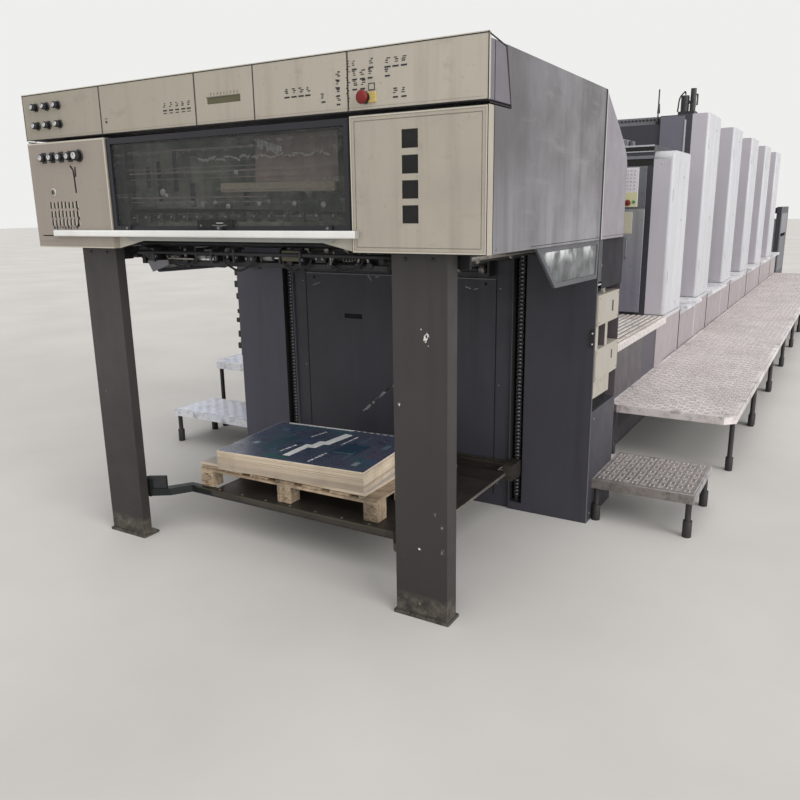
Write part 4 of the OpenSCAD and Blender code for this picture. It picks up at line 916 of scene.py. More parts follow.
def handle_bar():
    """The long handle: a round-edged extrusion with end caps and its stand-offs."""
    low, high = span("guard_handle")
    guard = next(span("guard_frame"))
    piece = Piece("handle_bar")
    deep = 19
    tall = 26
    z0 = low.z
    outline = []
    for cy, cz, start in ((-6 - 6, z0 + tall - 6, 0), (-6 - deep + 6, z0 + tall - 6, 90), (-6 - deep + 6, z0 + 6, 180),
                          (-6 - 6, z0 + 6, 270)):
        for k in range(5):
            a = math.radians(start + k * 22.5)
            outline.append((cy + 6 * math.cos(a), cz + 6 * math.sin(a)))
    piece.prism(outline, "x", low.x + 4, high.x - 4, "handle_paint")
    for x0, x1 in ((low.x, low.x + 4.2), (high.x - 4.2, high.x)):
        piece.block((x0, -6 - deep, z0), (x1, -6, z0 + tall), "lip_grey", 1.5)
    wide = (next(span("front_panel_right")).x) * 2
    for x in (-0.42 * wide, 0, 0.42 * wide):
        piece.block((x - 15, -6.5, z0 + 4), (x + 15, guard.y, z0 + tall + 18), "guard_paint", 2)
        piece.rod((x, -6.2, z0 + tall + 8), (x, -8.5, z0 + tall + 8), 5, "bolt_steel", 14)
    piece.finish(GUARD, replaces=("guard_handle",))


def hood_inside():
    """What shows dimly through the guard: sheets of trim, a pale beam, gripper bars, and pale blocks and discs that
    paint glints and bright spots.
    """
    low, high = span("guard_glass")
    piece = Piece("hood_inside")
    half = high.x + 20
    piece.block((-half, 132, low.z - 4), (half, 136, high.z + 6), "haze_green", 2)
    piece.prism([(134, 1606), (506, 1597), (506, high.z - 6), (145, high.z - 6)], "y", 62, 66, "haze_brown")
    piece.block((-440, 60, 1596), (-418, 66, 1680), "haze_dark", 2)
    piece.block((-half, 60, low.z), (30 - half, 66, high.z), "haze_dark", 2)
    for x, z0, z1 in ((-392, 1540, 1700), (-300, 1580, 1740), (-214, 1520, 1610), (60, 1520, 1600), (244, 1610, 1700)):
        piece.block((x, 74, z0), (x + rng.uniform(10, 26), 80, z1), "haze_dark", 2)

    def leaning(x0, x1, z0, z1, deep, drop, mat, y=70):
        piece.prism([(x0, z0), (x1, z0 - drop), (x1, z1 - drop), (x0, z1)], "y", y, y + deep, mat)
    leaning(-26, 497, 1572, 1604, -12, 6, "glow_beige", 60)
    leaning(-26, 497, 1578, 1581, -1, 6, "haze_brown", 47.6)
    for z in (1540, 1556, 1628, 1650, 1668, 1734):
        leaning(60 - half, 120 + rng.uniform(0, 300), z, z + rng.uniform(2, 5), 6, 6, "haze_brown", 56)
    # A wavy row of small pale blocks paints a row of glints.
    x = -130.0
    while x < 486:
        wave = 5 * math.sin(x / 13.0) + rng.uniform(-3, 3)
        z = 1694 - (x + 61) * 0.004 + wave
        size = rng.uniform(3, 6.5)
        piece.block((x - size * 1.7, 46, z - size * 0.6), (x + size * 1.7, 52, z + size * 0.6), "glint", 1.2,
                    Matrix.Rotation(rng.uniform(-0.7, 0.7), 3, "Y"))
        x += rng.uniform(9, 19)
    # Pale discs and a cluster of pale blocks paint bright spots.
    for x, z, r in ((-338, 1578, 13), (-318, 1566, 8), (4, 1520, 10), (157, 1528, 9), (320, 1525, 9), (448, 1520, 11),
                    (-125, 1528, 9), (54, 1641, 9), (-60, 1534, 7)):
        piece.turned((x, 50, z), (0, -1, 0), ((0, r), (5, r * 0.9), (8, r * 0.5)), "glint", 16)
    for k in range(8):
        x, w = 162 + k * 14, rng.uniform(9, 16)
        z = 1752 - k * 4
        piece.block((x, 46, z - rng.uniform(16, 34)), (x + w, 52, z), "glint", 2)
    for y, z in ((95, low.z + 30), (240, low.z + 70)):
        piece.rod((-half, y, z), (half, y, z), 11, "bolt_steel", 16)
        for k in range(16):
            x = -half + 45 + k * (2 * half - 90) / 15
            piece.block((x - 11, y - 18, z - 16), (x + 11, y + 8, z + 16), "grip_steel", 3)
            piece.rod((x, y - 19, z + 4), (x, y - 26, z + 4), 5, "chrome", 12)
    piece.pipe(((-half, 112, low.z + 60), (-200, 116, low.z + 56), (260, 114, low.z + 44), (half, 112, low.z + 30)), 9,
               "black_plastic")
    piece.finish()


def hood_details():
    """Seams, screws and hinge lines of the hood's sides, and the roof's grips."""
    low, high = span("hood_side_right")
    rear_low, rear_high = span("hood_rear_cover")
    strip_end = HALF_W / MM
    piece = Piece("hood_screws")
    for side in (-1, 1):
        x = side * high.x
        for y, z in ((low.y + 30, low.z + 16), (high.y - 40, low.z + 16), (high.y - 40, high.z - 20),
                     (high.y / 2, low.z + 16)):
            piece.turned((x, y, z), (side, 0, 0), ((-0.5, 6), (0.8, 6), (1.6, 4)), "bolt_steel", 14)
        piece.block((min(x, x + side * 0.6), low.y + 330, low.z + 9), (max(x, x + side * 0.6), high.y - 8, low.z + 11),
                    "gap_black")
    piece.block((-high.x + 40, high.y - 9, high.z - 0.5), (high.x - 40, high.y - 6, high.z + 0.5), "gap_black")
    for side in (-1, 1):
        p, q = sorted((side * (high.x - 0.4), side * (high.x + 0.7)))
        piece.block((p, high.y - 14, low.z + 1), (q, high.y + 6, high.z - 1), "gap_black")
        piece.block((p, high.y + 6, low.z + 1), (q, high.y + 16, high.z - 6), "edge_pale")
        piece.block((p, low.y - 1.5, low.z + 1), (q, low.y + 1.5, high.z - 1), "gap_black")
        piece.block((p, rear_low.y + 40, rear_low.z + 12), (q, rear_high.y - 6, rear_low.z + 13.5), "gap_black")
        p, q = sorted((side * (strip_end - 0.4), side * (strip_end + 0.6)))
        for a, b in (((122.8, 1970.5), (168.2, 1802.4)), ((168.2, 1802.4), (6.4, 1802)), ((2.8, 1987), (122.8, 1970.5))):
            stroke(piece, "x", (p, q), a, b, 5, "gap_black")
    for x in (-700, 0, 700):
        piece.block((x - 60, rear_high.y - 0.6, rear_low.z + 60), (x + 60, rear_high.y + 0.0, rear_low.z + 78),
                    "gap_black")
    piece.finish()


# Under the hood, columns, pillars, lift and pile

def delivery_mechanism():
    """Rails, levers, air cylinders, brackets and hoses that hang below the hood."""
    low, high = span("delivery_bars")
    hood = next(span("hood_side_right")).z
    piece = Piece("delivery_mechanism")
    front = low.y - 20
    bottom = low.z
    piece.block((-548, front + 14, bottom + 10), (645, front + 34, bottom + 30), "black_steel", 2)
    piece.block((-548, front + 4, bottom + 4), (-520, front + 40, hood - 2), "black_steel", 2)
    piece.prism([(-556, bottom + 24), (-528, bottom - 22), (-430, bottom + 10), (-430, bottom + 30)], "y", front,
                front + 6, "edge_grey")
    piece.prism([(-600, hood), (-600, hood - 14), (-548, bottom + 30), (-548, hood)], "y", front + 2, front + 8,
                "black_steel")
    x = -505
    while x < 610:
        kind = rng.choice(("lever", "cylinder", "bracket", "bracket", "block", "spring"))
        y = front + rng.uniform(-2, 26)
        z = bottom + rng.uniform(26, 34)
        if kind == "lever":
            lean = rng.uniform(-26, 26)
            piece.rod((x, y, z), (x + lean, y - 4, hood - 4), 6, "worn_steel", 12)
            piece.turned((x, y + 8, z), (0, -1, 0), ((0, 14), (14, 14), (16, 9)), "black_steel", 20)
        elif kind == "cylinder":
            piece.rod((x - 26, y, z + 18), (x + 22, y, z + 18), 13, "grip_steel", 20)
            piece.rod((x + 20, y, z + 18), (x + 52, y, z + 18), 5, "chrome", 12)
            piece.block((x - 34, y - 15, z + 3), (x - 24, y + 15, z + 33), "black_steel", 2)
        elif kind == "bracket":
            piece.block((x - 5, y - 20, z - 6), (x + 5, y + 26, hood - 2), "black_steel", 1.5)
            piece.rod((x - 9, y - 8, z + 16), (x + 9, y - 8, z + 16), 7, "bolt_steel", 6)
        elif kind == "block":
            piece.block((x - 24, y - 12, z), (x + 26, y + 18, z + 30), "black_steel", 3)
            for dx in (-14, 14):
                piece.rod((x + dx, y - 12, z + 15), (x + dx, y - 16, z + 15), 5, "bolt_steel", 6)
        else:
            coil = [(x + k * 2.2, y + 7 * math.cos(k * 1.05), z + 14 + 7 * math.sin(k * 1.05)) for k in range(28)]
            piece.pipe(coil, 1.6, "worn_steel", 6)
        x += rng.uniform(44, 72)
    piece.rod((-418, front - 10, hood - 44), (-269, front - 10, hood - 45), 3.5, "worn_steel", 10)
    for k in range(6):
        x = -222 + k * 11.5
        piece.turned((x, front - 4, hood - 44), (0, -1, 0), ((0, 5), (6, 5), (9, 3 + k % 2 * 1.5)), "chrome", 12)
    piece.block((-230, front - 2, hood - 50), (-157, front + 12, hood - 30), "grip_steel", 2)
    piece.block((416, front - 12, hood - 22), (523, front - 8, hood - 16), "grip_steel", 0.8)
    piece.block((416, front - 12, hood - 52), (422, front - 8, hood - 16), "grip_steel", 0.8)
    piece.block((187, front - 6, hood - 44), (278, front + 30, hood - 3), "rail_olive", 3)
    for z, y, r, mat in ((hood - 20, front - 6, 8, "black_steel"), (hood - 36, front + 60, 10, "black_steel")):
        piece.rod((-596, y, z), (700, y, z), r, mat, 16)
    for x0, x1, sag in ((-430, -260, 24), (-120, 60, 34), (180, 330, 28), (400, 560, 20)):
        piece.pipe(((x0, front + 6, hood - 12), (x0 + 14, front - 4, bottom + 34 - sag * 0.3),
                    ((x0 + x1) / 2, front - 8, bottom + 26 - sag), (x1 - 14, front - 4, bottom + 34 - sag * 0.3),
                    (x1, front + 6, hood - 12)), 4.5, "rubber", 8)
    piece.finish()


def side_mechanism():
    """Brackets, bearings and a guide tube between the right column and the side."""
    hood = next(span("hood_side_right")).z
    low, high = span("rear_pillar_right")
    piece = Piece("side_mechanism")
    for side in (-1, 1):
        for k, y in enumerate((215, 330, 470, 640, 820, 1010)):
            x = side * (high.x - 250 + 40 * (k % 2))
            piece.block((x - 20, y, hood - 62), (x + 20, y + 60, hood + 1), "black_steel", 3)
            piece.turned((x + side * 20, y + 30, hood - 34), (side, 0, 0), ((0, 19), (9, 19), (12, 12)), "worn_steel", 24)
            for dz in (-14, 14):
                piece.rod((x - 14, y - 4, hood - 34 + dz), (x - 14, y, hood - 34 + dz), 5, "bolt_steel", 6)
        x = side * (high.x - 160)
        piece.rod((x, 190, hood - 26), (x, low.y - 20, hood - 26), 12, "worn_steel", 16)
        piece.rod((x - side * 34, 190, hood - 44), (x - side * 34, low.y - 20, hood - 44), 7, "black_steel", 12)
        piece.block((min(x - side * 60, x + side * 30), 186, hood - 60), (max(x - side * 60, x + side * 30), 200, hood + 1),
                    "black_steel", 2)
    piece.finish()


def chips(piece, x, y, z, size, count, mat="chip_white"):
    """Flakes of bare primer: a large one with small ones around it, on a face that looks forward."""
    for k in range(count):
        r = size * (1.0 if k == 0 else rng.uniform(0.08, 0.3))
        cx = x + (0 if k == 0 else rng.gauss(0, size * 0.8))
        cz = z + (0 if k == 0 else rng.gauss(0, size * 1.1))
        corners = sorted(rng.uniform(0, math.tau) for _ in range(9))
        ring = [(cx + r * rng.uniform(0.5, 1.0) * math.cos(a), cz + r * rng.uniform(0.6, 1.2) * math.sin(a))
                for a in corners]
        piece.prism(ring, "y", y - 0.25, y + 0.1, mat)


def column_details():
    """Bolts, foot bolts, chips and scuffs on the two front columns."""
    piece = Piece("column_fittings")
    for node in ("front_column_left", "front_column_right"):
        low, high = span(node)
        x0, x1, y0 = low.x + 9, high.x - 9, low.y + 9
        for x in (x0 + 55, x1 - 55):
            piece.turned((x, y0 + 0.3, high.z - 22), (0, -1, 0), ((0, 7), (2, 7), (4, 4.5)), "black_steel", 6)
            piece.turned((x, low.y + 5, 12), (0, 0, 1), ((0, 4), (1, 4)), "bolt_steel", 8)
        piece.block((x0 + 2, y0 - 0.5, 12), (x1 - 2, y0 + 0.2, 15), "gap_black")
    low, high = span("front_column_right")
    y = low.y + 9
    chips(piece, 834, y, 1070, 17, 9)
    chips(piece, 722, y, 824, 5, 9)
    chips(piece, 866, y, 433, 5, 12, "chip_grey")
    chips(piece, 893, y, 385, 6, 14, "chip_grey")
    chips(piece, 801, y, 282, 6, 4)
    chips(piece, 896, y, 290, 7, 22, "chip_grey")
    chips(piece, 800, y, 60, 6, 10, "chip_moss")
    low, high = span("front_column_left")
    chips(piece, low.x + 120, low.y + 9, 60, 6, 12, "chip_moss")
    chips(piece, low.x + 60, low.y + 9, 700, 3, 8, "chip_grey")
    piece.finish()


def pillar_details():
    """Chain rollers, black sheets that paint the shade in the chain slots and, under the hood, on the pillars' outer
    sides, folded edges, bolts and the left pillar's switch rail.
    """
    piece = Piece("pillar_fittings")
    low, high = span("rear_pillar_right")
    chain_low, chain_high = span("lift_chains")
    wall_low, wall_high = span("back_wall")
    links = 2 * int((chain_high.z - chain_low.z - 60) / CHAIN_PITCH / 2)
    start = (chain_low.z + chain_high.z - links * CHAIN_PITCH) / 2
    for side in (-1, 1):
        for k in range(links + 1):
            z = start + k * CHAIN_PITCH
            piece.rod((side * 705 - 8, low.y + 30, z), (side * 705 + 8, low.y + 30, z), 6.6, "chain_roller", 10)
        # Thin black sheets inside each chain slot paint the shade in it.
        a, b = side * (low.x + 7), side * (low.x + 73)
        near, far = min(a, b), max(a, b)
        piece.block((near, low.y + 1, 42), (near + 1.2, low.y + 94, high.z), "joint_black_and_slot_shade")
        piece.block((far - 1.2, low.y + 1, 42), (far, low.y + 94, high.z), "joint_black_and_slot_shade")
        piece.block((near, low.y + 93, 42), (far, low.y + 94.5, high.z), "joint_black_and_slot_shade")
        outer = side * high.x
        piece.block((min(outer, outer - side * 4), low.y - 1.2, 4), (max(outer, outer - side * 4), low.y + 0.2, high.z - 4),
                    "edge_grey", 0.4)
        # A very dark sheet on the pillar's outer side, under the hood, paints the shade of the hood's overhang.
        p, q = sorted((outer - side * 0.4, outer + side * 1.2))
        piece.block((p, low.y + 52, 1134), (q, high.y - 3, next(span("hood_side_right")).z - 3), "overhang_shade_mauve", 0.5)
        for z in (40, 520, 1240):
            piece.turned((outer, low.y + 40, z), (side, 0, 0), ((-0.5, 8), (1.5, 8), (3, 5)), "bolt_steel", 6)
    x = -high.x
    piece.block((x - 12, low.y + 6, 650), (x - 0.3, low.y + 60, 1172), "black_steel", 2)
    for z in (690, 760, 850, 905, 990, 1060, 1130):
        piece.block((x - rng.uniform(26, 46), low.y + 14, z), (x - 11, low.y + 50, z + rng.uniform(24, 46)),
                    "black_plastic", 3)
    piece.finish()


def wall_details():
    """Scratches, edges and bolts of the back wall, and the gear behind its upper edge."""
    low, high = span("back_wall")
    piece = Piece("wall_fittings")
    y = low.y
    panel_top = 1166
    seam_x = 580
    for k in range(16):
        t = k / 16
        x, z = -35 - 188 * t + rng.uniform(-6, 6), 556 - 160 * t + rng.uniform(-4, 4)
        piece.prism([(x, z), (x + 24, z + 20), (x + 22, z + 24 + rng.uniform(0, 5)), (x - 3, z + 5)], "y", y - 0.3,
                    y + 0.1, "scratch_grey")
    for x0, z0, x1, z1 in ((-534, 1094, -482, 1110), (-167, 1160, -144, 1131), (-120, 1150, -95, 1153),
                           (410, 1120, 440, 1112), (455, 1108, 480, 1114)):
        piece.prism([(x0, z0), (x1, z1), (x1 + 2, z1 + 4), (x0 + 3, z0 + 5)], "y", y - 0.3, y + 0.1, "scratch_grey")
    for a, b in ((-seam_x + 4, -2), (2, seam_x - 4)):
        piece.block((a, y - 1.5, panel_top - 5), (b, y + 6, panel_top + 1.5), "edge_grey", 0.6)
    for x in both(seam_x):
        piece.block((x - 2.5, y - 0.6, 60), (x + 2.5, y + 0.3, panel_top - 4), "joint_black_and_slot_shade")
    for x in (-522, 522):
        piece.turned((x, y + 0.2, 1140), (0, -1, 0), ((0, 8), (1, 8), (2, 6)), "gap_black", 16)
    for x in (-600, 600):
        for z in (120, 640, 1120):
            piece.turned((x, y + 0.2, z), (0, -1, 0), ((0, 5), (2, 5), (3, 3)), "bolt_steel", 6)
    piece.block((-326, y + 7, 925), (-207, y + 8.8, 948), "joint_black_and_slot_shade")
    for z, r in ((1215, 16), (1300, 22)):
        piece.rod((-560, y - 30, z), (560, y - 30, z), r, "black_steel", 18)
        for x in range(-520, 521, 130):
            piece.rod((x - 14, y - 30, z), (x + 14, y - 30, z), r + 9, "worn_steel", 22)
    for x in (-566, -280, 0, 280, 554):
        piece.block((x, y - 60, 1180), (x + 12, y + 7.5, high.z), "black_steel", 1.5)
    piece.finish()


def box_details():
    """Seams, screws, slots and switches of the stacked control boxes, and the valve under their cover."""
    low, high = span("control_boxes")
    x = high.x
    y0 = low.y
    cover = high.z
    top = cover - 51
    gap_top, mid_top, low_top = top - 140, top - 253, top - 401
    piece = Piece("box_fittings")
    # Black fills in the two side slots paint the shade inside them.
    piece.block((x - 12, y0 + 223, top - 95), (x + 0.4, y0 + 243, top - 43), "joint_black_and_slot_shade")
    piece.block((x - 14, y0 + 254, mid_top - 77), (x - 1.6, y0 + 270, mid_top - 35), "joint_black_and_slot_shade")
    piece.block((x - 118, y0 + 157, mid_top), (x - 11, y0 + 159.5, mid_top + 113), "recess_brown")
    piece.block((x - 118, y0 + 198.5, mid_top), (x - 100, y0 + 380, mid_top + 113), "recess_brown")
    for z0, z1, out, y1 in ((gap_top, top, 0, 340), (low_top, mid_top, 2, 372)):
        p, q = x - out - 0.3, x - out + 0.5
        for a, b, c, d in ((y0 + 4, y0 + y1 - 4, z1 - 5, z1 - 3.6), (y0 + 4, y0 + y1 - 4, z0 + 4, z0 + 5.2),
                           (y0 + 4, y0 + 5.4, z0 + 5, z1 - 5), (y0 + y1 - 5.4, y0 + y1 - 4, z0 + 5, z1 - 5)):
            piece.block((p, a, c), (q, b, d), "box_shade")
        for y in (y0 + 16, y0 + y1 - 16):
            for z in (z0 + 14, z1 - 14):
                piece.turned((x - out, y, z), (1, 0, 0), ((-0.5, 4), (1, 4), (1.6, 2.5)), "bolt_steel", 12)
        piece.block((x - out - 122, y0 - 1.2, z0 + 6), (x - out - 6, y0 + 0.2, z1 - 6), "box_shade", 0.4)
    for r in (30, 22):
        ring = [(r * math.cos(a / 24 * math.tau), r * math.sin(a / 24 * math.tau)) for a in range(25)]
        piece.pipe([(x - 18, y0 + 150 + c, low_top - 48 + d) for c, d in ring[3:20]], 1.4, "box_shade", 6)
    piece.block((x - 90, y0 + 48, mid_top), (x - 60, y0 + 158, mid_top + 106), "black_steel", 3)
    piece.block((x - 58, y0 + 58, mid_top + 6), (x - 40, y0 + 96, mid_top + 60), "joint_black_and_slot_shade", 2)
    for z in (mid_top + 22, mid_top + 52, mid_top + 84):
        piece.rod((x - 62, y0 + 128, z), (x - 44, y0 + 128, z), 8, "worn_steel", 16)
    piece.block((x - 100, y0 + 200, mid_top), (x - 56, y0 + 366, mid_top + 108), "recess_brown", 3)
    piece.pipe(((x - 50, y0 + 212, mid_top + 4), (x - 44, y0 + 216, mid_top + 50), (x - 52, y0 + 230, mid_top + 106)), 5,
               "rubber", 8)
    piece.rod((x - 64, y0 + 96, top + 22), (x - 22, y0 + 96, top + 22), 12, "black_plastic", 20)
    piece.rod((x - 22, y0 + 96, top + 22), (x - 16, y0 + 96, top + 22), 6, "chrome", 16)
    piece.prism([(y0 + 112, top + 4), (y0 + 146, top + 4), (y0 + 236, top + 38), (y0 + 206, top + 38)], "x", x - 70,
                x - 40, "grip_steel")
    piece.rod((x - 46, y0 + 222, top + 2), (x - 46, y0 + 222, top + 40), 8, "chrome", 16)
    piece.block((x - 110, y0 - 2, cover - 6), (x - 8, y0 + 282, cover + 0.8), "edge_pale", 0.8)
    for k in range(5):
        z = low_top - 96 - k * 10
        piece.prism([(y0 + 20, z), (y0 + 280, z - 8), (y0 + 280, z - 12), (y0 + 20, z - 4)], "x", x - 60, x - 26,
                    "joint_black_and_slot_shade")
    pillar_low, pillar_high = span("rear_pillar_right")
    px = pillar_high.x
    piece.block((px - 119, pillar_high.y - 8, 562), (px - 2, pillar_high.y - 2, 1166), "recess_brown", 1)
    piece.block((px - 22, pillar_low.y - 9, 872), (px - 2, pillar_low.y + 0.5, 952), "black_plastic", 2)
    for z in (886, 936):
        piece.turned((px - 12, pillar_low.y - 8.7, z), (0, -1, 0), ((0, 5), (2, 5), (3.4, 3)), "chrome", 12)
    piece.finish()


def lift_details():
    """Rail faces, hook plates, corner brackets and bolts, all riding on the lift."""
    low, high = span("lift_plate")
    left, right = -425, 692
    piece = Piece("lift_fittings")
    top = low.z + 35
    rear = high.y
    front = 283
    piece.block((left + 22, rear - 31, top), (right - 22, rear - 29.5, top + 29), "rail_olive")
    piece.block((left + 20, rear - 32, top + 28), (right - 20, rear - 17, top + 31), "rail_olive", 0.8)
    piece.block((right - 5, front + 40, top - 10.5), (right + 1.2, rear - 2, top + 1.6), "worn_steel", 1)
    piece.block((left - 1.2, front + 40, top - 10.5), (left + 5, rear - 2, top + 1.6), "worn_steel", 1)
    piece.block((left + 10, rear - 62, top - 0.4), (right - 8, rear - 33, top + 1.6), "rail_olive", 0.6)
    for side, edge in ((-1, left), (1, right)):
        x = side * 705
        y1 = rear - 40
        p, q = sorted((side * 677, side * 733))
        piece.block((p, y1 - 56, top - 12), (q, y1 - 50.5, top + 46), "hook_mauve", 1.5)
        for dx in (-20, 0, 20):
            piece.block((x + dx - 2, y1 - 59, top - 8), (x + dx + 2, y1 - 56, top + 42), "hook_mauve", 0.8)
        p, q = sorted((side * 640, side * 682))
        piece.block((p, y1 - 58, top), (q, y1 - 8, top + 8), "worn_steel", 2)
        for dy in (12, 30, 48):
            piece.rod((side * 652, y1 - dy, top + 7), (side * 652, y1 - dy, top + 13), 6, "chrome", 6)
            piece.rod((side * 670, y1 - dy + 5, top + 7), (side * 670, y1 - dy + 5, top + 11), 4, "chrome", 6)
        piece.prism([(side * 716, 146), (side * 640, 192), (side * 640, 202), (side * 716, 158)], "z", top - 4,
                    top + 62, "black_steel")
        q0, q1 = sorted((side * 697, side * 828))
        hook = low.y
        piece.block((q0, hook + 11.5, low.z + 2), (q1, hook + 14, low.z + 78), "black_steel", 1)
        for dx, dz in ((20, 60), (60, 60), (100, 60), (20, 20), (100, 20)):
            piece.turned((side * (697 + dx), hook + 13.5, low.z + dz), (0, 1, 0), ((0, 6), (2, 6), (3, 4)),
                         "bolt_steel", 12)
    piece.block((-540, front - 1, low.z + 2), (540, front + 0.5, low.z + 6), "black_steel")
    piece.block((-540, front - 1, top - 6), (540, front + 0.5, top - 1), "rail_olive")
    for k in range(8):
        piece.rod((-400 + k * 140, front + 16, top - 1), (-400 + k * 140, front + 16, top + 2.6), 6, "bolt_steel", 12)
    for k in range(14):
        x0, y0 = rng.uniform(-380, 640), rng.uniform(340, 1150)
        turn = rng.uniform(0, math.tau)
        dx, dy = 40 * math.cos(turn), 40 * math.sin(turn)
        piece.prism([(x0, y0), (x0 + dx, y0 + dy), (x0 + dx + 1.5, y0 + dy + 2), (x0 + 2, y0 + 2)], "z", top - 0.1,
                    top + 0.3, "scratch_grey")
    piece.finish(PILE)


def top_sheet():
    """The middle of the top sheet, and its directions along its long and its short side with their lengths."""
    obj = frame["nodes"]["sheet_pile"]
    points = [obj.matrix_world @ v.co for v in obj.data.vertices]
    z = max(p.z for p in points)
    top = [Vector((p.x, p.y - FRONT, p.z)) / MM for p in points if p.z > z - 0.0002]
    left = min(top, key=lambda p: p.x)
    front = min(top, key=lambda p: p.y)
    right = max(top, key=lambda p: p.x)
    back = max(top, key=lambda p: p.y)
    middle = (left + front + right + back) / 4
    sides = sorted(((right - front), (back - right), (front - left)), key=lambda v: -v.length)
    along = max(sides, key=lambda v: abs(v.normalized().x))
    long_side = along.length
    along = along.normalized() * (1 if along.x > 0 else -1)
    across = Vector((-along.y, along.x, 0))
    short_side = max((p - middle).dot(across) for p in top) * 2
    return middle, along, across, long_side, short_side


def sheet_print():
    """The top sheet: a generic layout of dark grounds, a stepped pale band, and small marks like text."""
    middle, along, across, long_side, short_side = top_sheet()
    z = middle.z
    piece = Piece("printed_sheet")

    def shape(points, rise, mat):
        ring = [middle + along * x + across * y for x, y in points]
        piece.prism([(c.x, c.y) for c in ring], "z", z + 0.02, z + rise, mat)

    def patch(x0, y0, x1, y1, rise, mat):
        shape(((x0, y0), (x1, y0), (x1, y1), (x0, y1)), rise, mat)

    def marks(x0, y0, x1, y1, count, mat, wide=9):
        """A line of short pale marks from one place to another."""
        for k in range(count):
            t = (k + rng.uniform(0.1, 0.5)) / count
            x, y = x0 + (x1 - x0) * t, y0 + (y1 - y0) * t
            w, h = wide * rng.uniform(0.5, 1.0), (y1 - y0) / count * rng.uniform(0.4, 0.75)
            patch(x - w / 2, y, x + w / 2, y + h, 0.9, mat)

    hx, hy = long_side / 2 - 0.5, short_side / 2 - 0.5
    patch(-hx, -hy, hx, hy, 0.25, "paper_white")
    patch(3 - hx, 2 - hy, hx - 2, hy - 3, 0.40, "print_ink")
    shape(((-330, hy - 20), (46, hy - 18), (52, hy), (-336, hy)), 0.6, "print_pale")
    marks(70, hy - 6, hx - 20, hy - 12, 1, "print_pale")
    for k in range(9):
        x = 66 + k * 36
        patch(x, hy - 9 - k, x + rng.uniform(12, 24), hy - 4 - k, 0.6, "print_pale")
    shape(((-66, -203), (-31, -203), (-20, -58), (16, -56), (24, 8), (49, 11), (80, 188), (36, 199), (10, 48),
           (-17, 45), (-24, -18), (-54, -22)), 0.8, "print_pale")
    marks(-95, 84, -71, 189, 9, "print_pale", 10)
    marks(-108, -161, -90, -48, 10, "print_pale", 12)
    marks(105, 35, 118, 175, 12, "print_pale", 10)
    marks(90, -235, 104, -102, 9, "print_pale", 14)
    marks(306, -93, 320, -29, 7, "print_red", 9)
    marks(-200, 20, -190, 130, 10, "print_mid", 8)
    marks(212, -150, 222, -40, 10, "print_mid", 8)
    marks(176, 90, 190, 200, 11, "print_mid", 7)
    patch(286, -212, 318, -156, 0.8, "print_mid")
    patch(290, -206, 314, -162, 0.9, "print_light")
    patch(308, 46, 332, 112, 0.8, "print_mid")
    patch(-300, 138, -262, 164, 0.7, "print_mid")
    patch(-306, -104, -276, -72, 0.7, "print_light")
    shape(((104, -96), (236, -88), (250, 66), (128, 58)), 0.5, "print_blue_bright")
    shape(((120, -80), (222, -74), (226, -62), (122, -68)), 0.6, "print_mid")
    shape(((-158, -246), (-16, -246), (-30, -214), (-150, -206)), 0.6, "print_green")
    shape(((-250, -150), (-176, -160), (-130, 60), (-206, 90)), 0.5, "print_teal")
    for k in range(46):
        x, y = rng.uniform(20 - hx, hx - 40), rng.uniform(20 - hy, hy - 40)
        patch(x, y, x + rng.uniform(8, 34), y + rng.uniform(5, 26), 0.46 + 0.001 * k,
              rng.choice(("print_deep", "print_teal", "print_blue", "print_deep")))
    piece.finish(PILE)


def pile_edges():
    """Single sheets that stand a little out of the pile's sides, also out of its lowest lot."""
    middle, along, across, long_side, short_side = top_sheet()
    low, high = span("sheet_pile")
    piece = Piece("loose_sheets")

    def sheet(centre, a, b, hx, hy, z, thick):
        ring = [centre + a * x + b * y for x, y in ((-hx, -hy), (hx, -hy), (hx, hy), (-hx, hy))]
        piece.prism([(c.x, c.y) for c in ring], "z", z, z + thick, "paper")
    foot = low.z + 13
    for k in range(30):
        z = foot + k * (high.z - foot - 3) / 30
        nudge = along * rng.uniform(-1.2, 1.2) + across * rng.uniform(-0.9, 0.9)
        sheet(middle + nudge, along, across, long_side / 2 + rng.uniform(0.4, 3.0),
              short_side / 2 + rng.uniform(0.4, 2.4), z, rng.uniform(0.3, 0.9))
    turn = Matrix.Rotation(math.radians(1), 3, "Z")
    a, b = turn @ Vector((1, 0, 0)), turn @ Vector((0, 1, 0))
    for k in range(5):
        sheet(Vector((-71.5 + rng.uniform(-3, 3), 606, 0)), a, b, 466 + rng.uniform(0.5, 3), 275 + rng.uniform(0.5, 3),
              low.z + 0.5 + k * 2.2, rng.uniform(0.4, 1.0))
    piece.finish(PILE)


def pallet_details():
    """Nail heads, splits and rough ends of the pallet's blocks."""
    low, high = span("pallet")
    centre = (low + high) / 2
    turn = Matrix.Rotation(math.radians(1), 3, "Z")
    front = -292.5
    piece = Piece("pallet_splinters")
    for x in (-459, 0, 459):
        for k in range(40):
            px = x + rng.uniform(-33, 33)
            pz = low.z + rng.uniform(3, 74)
            at_face = turn @ Vector((px, front - rng.uniform(0.2, 1.4), 0)) + Vector((centre.x, centre.y, 0))
            w, h = rng.uniform(2, 8), rng.uniform(0.8, 2.4)
            piece.block((at_face.x - w, at_face.y, pz), (at_face.x + w, at_face.y + 3, pz + h), "wood_dark")
    for k in range(7):
        for dx in (22, 78):
            spot = turn @ Vector((-495 + k * 148.33 + dx, front + 7.4, 0)) + Vector((centre.x, centre.y, 0))
            piece.block((spot.x - 9, spot.y, high.z - 9), (spot.x + rng.uniform(2, 12), spot.y + 2, high.z - 7),
                        "wood_dark")
    piece.finish(PILE)


# Press line: extension, coating unit, printing units, walkways and feeder

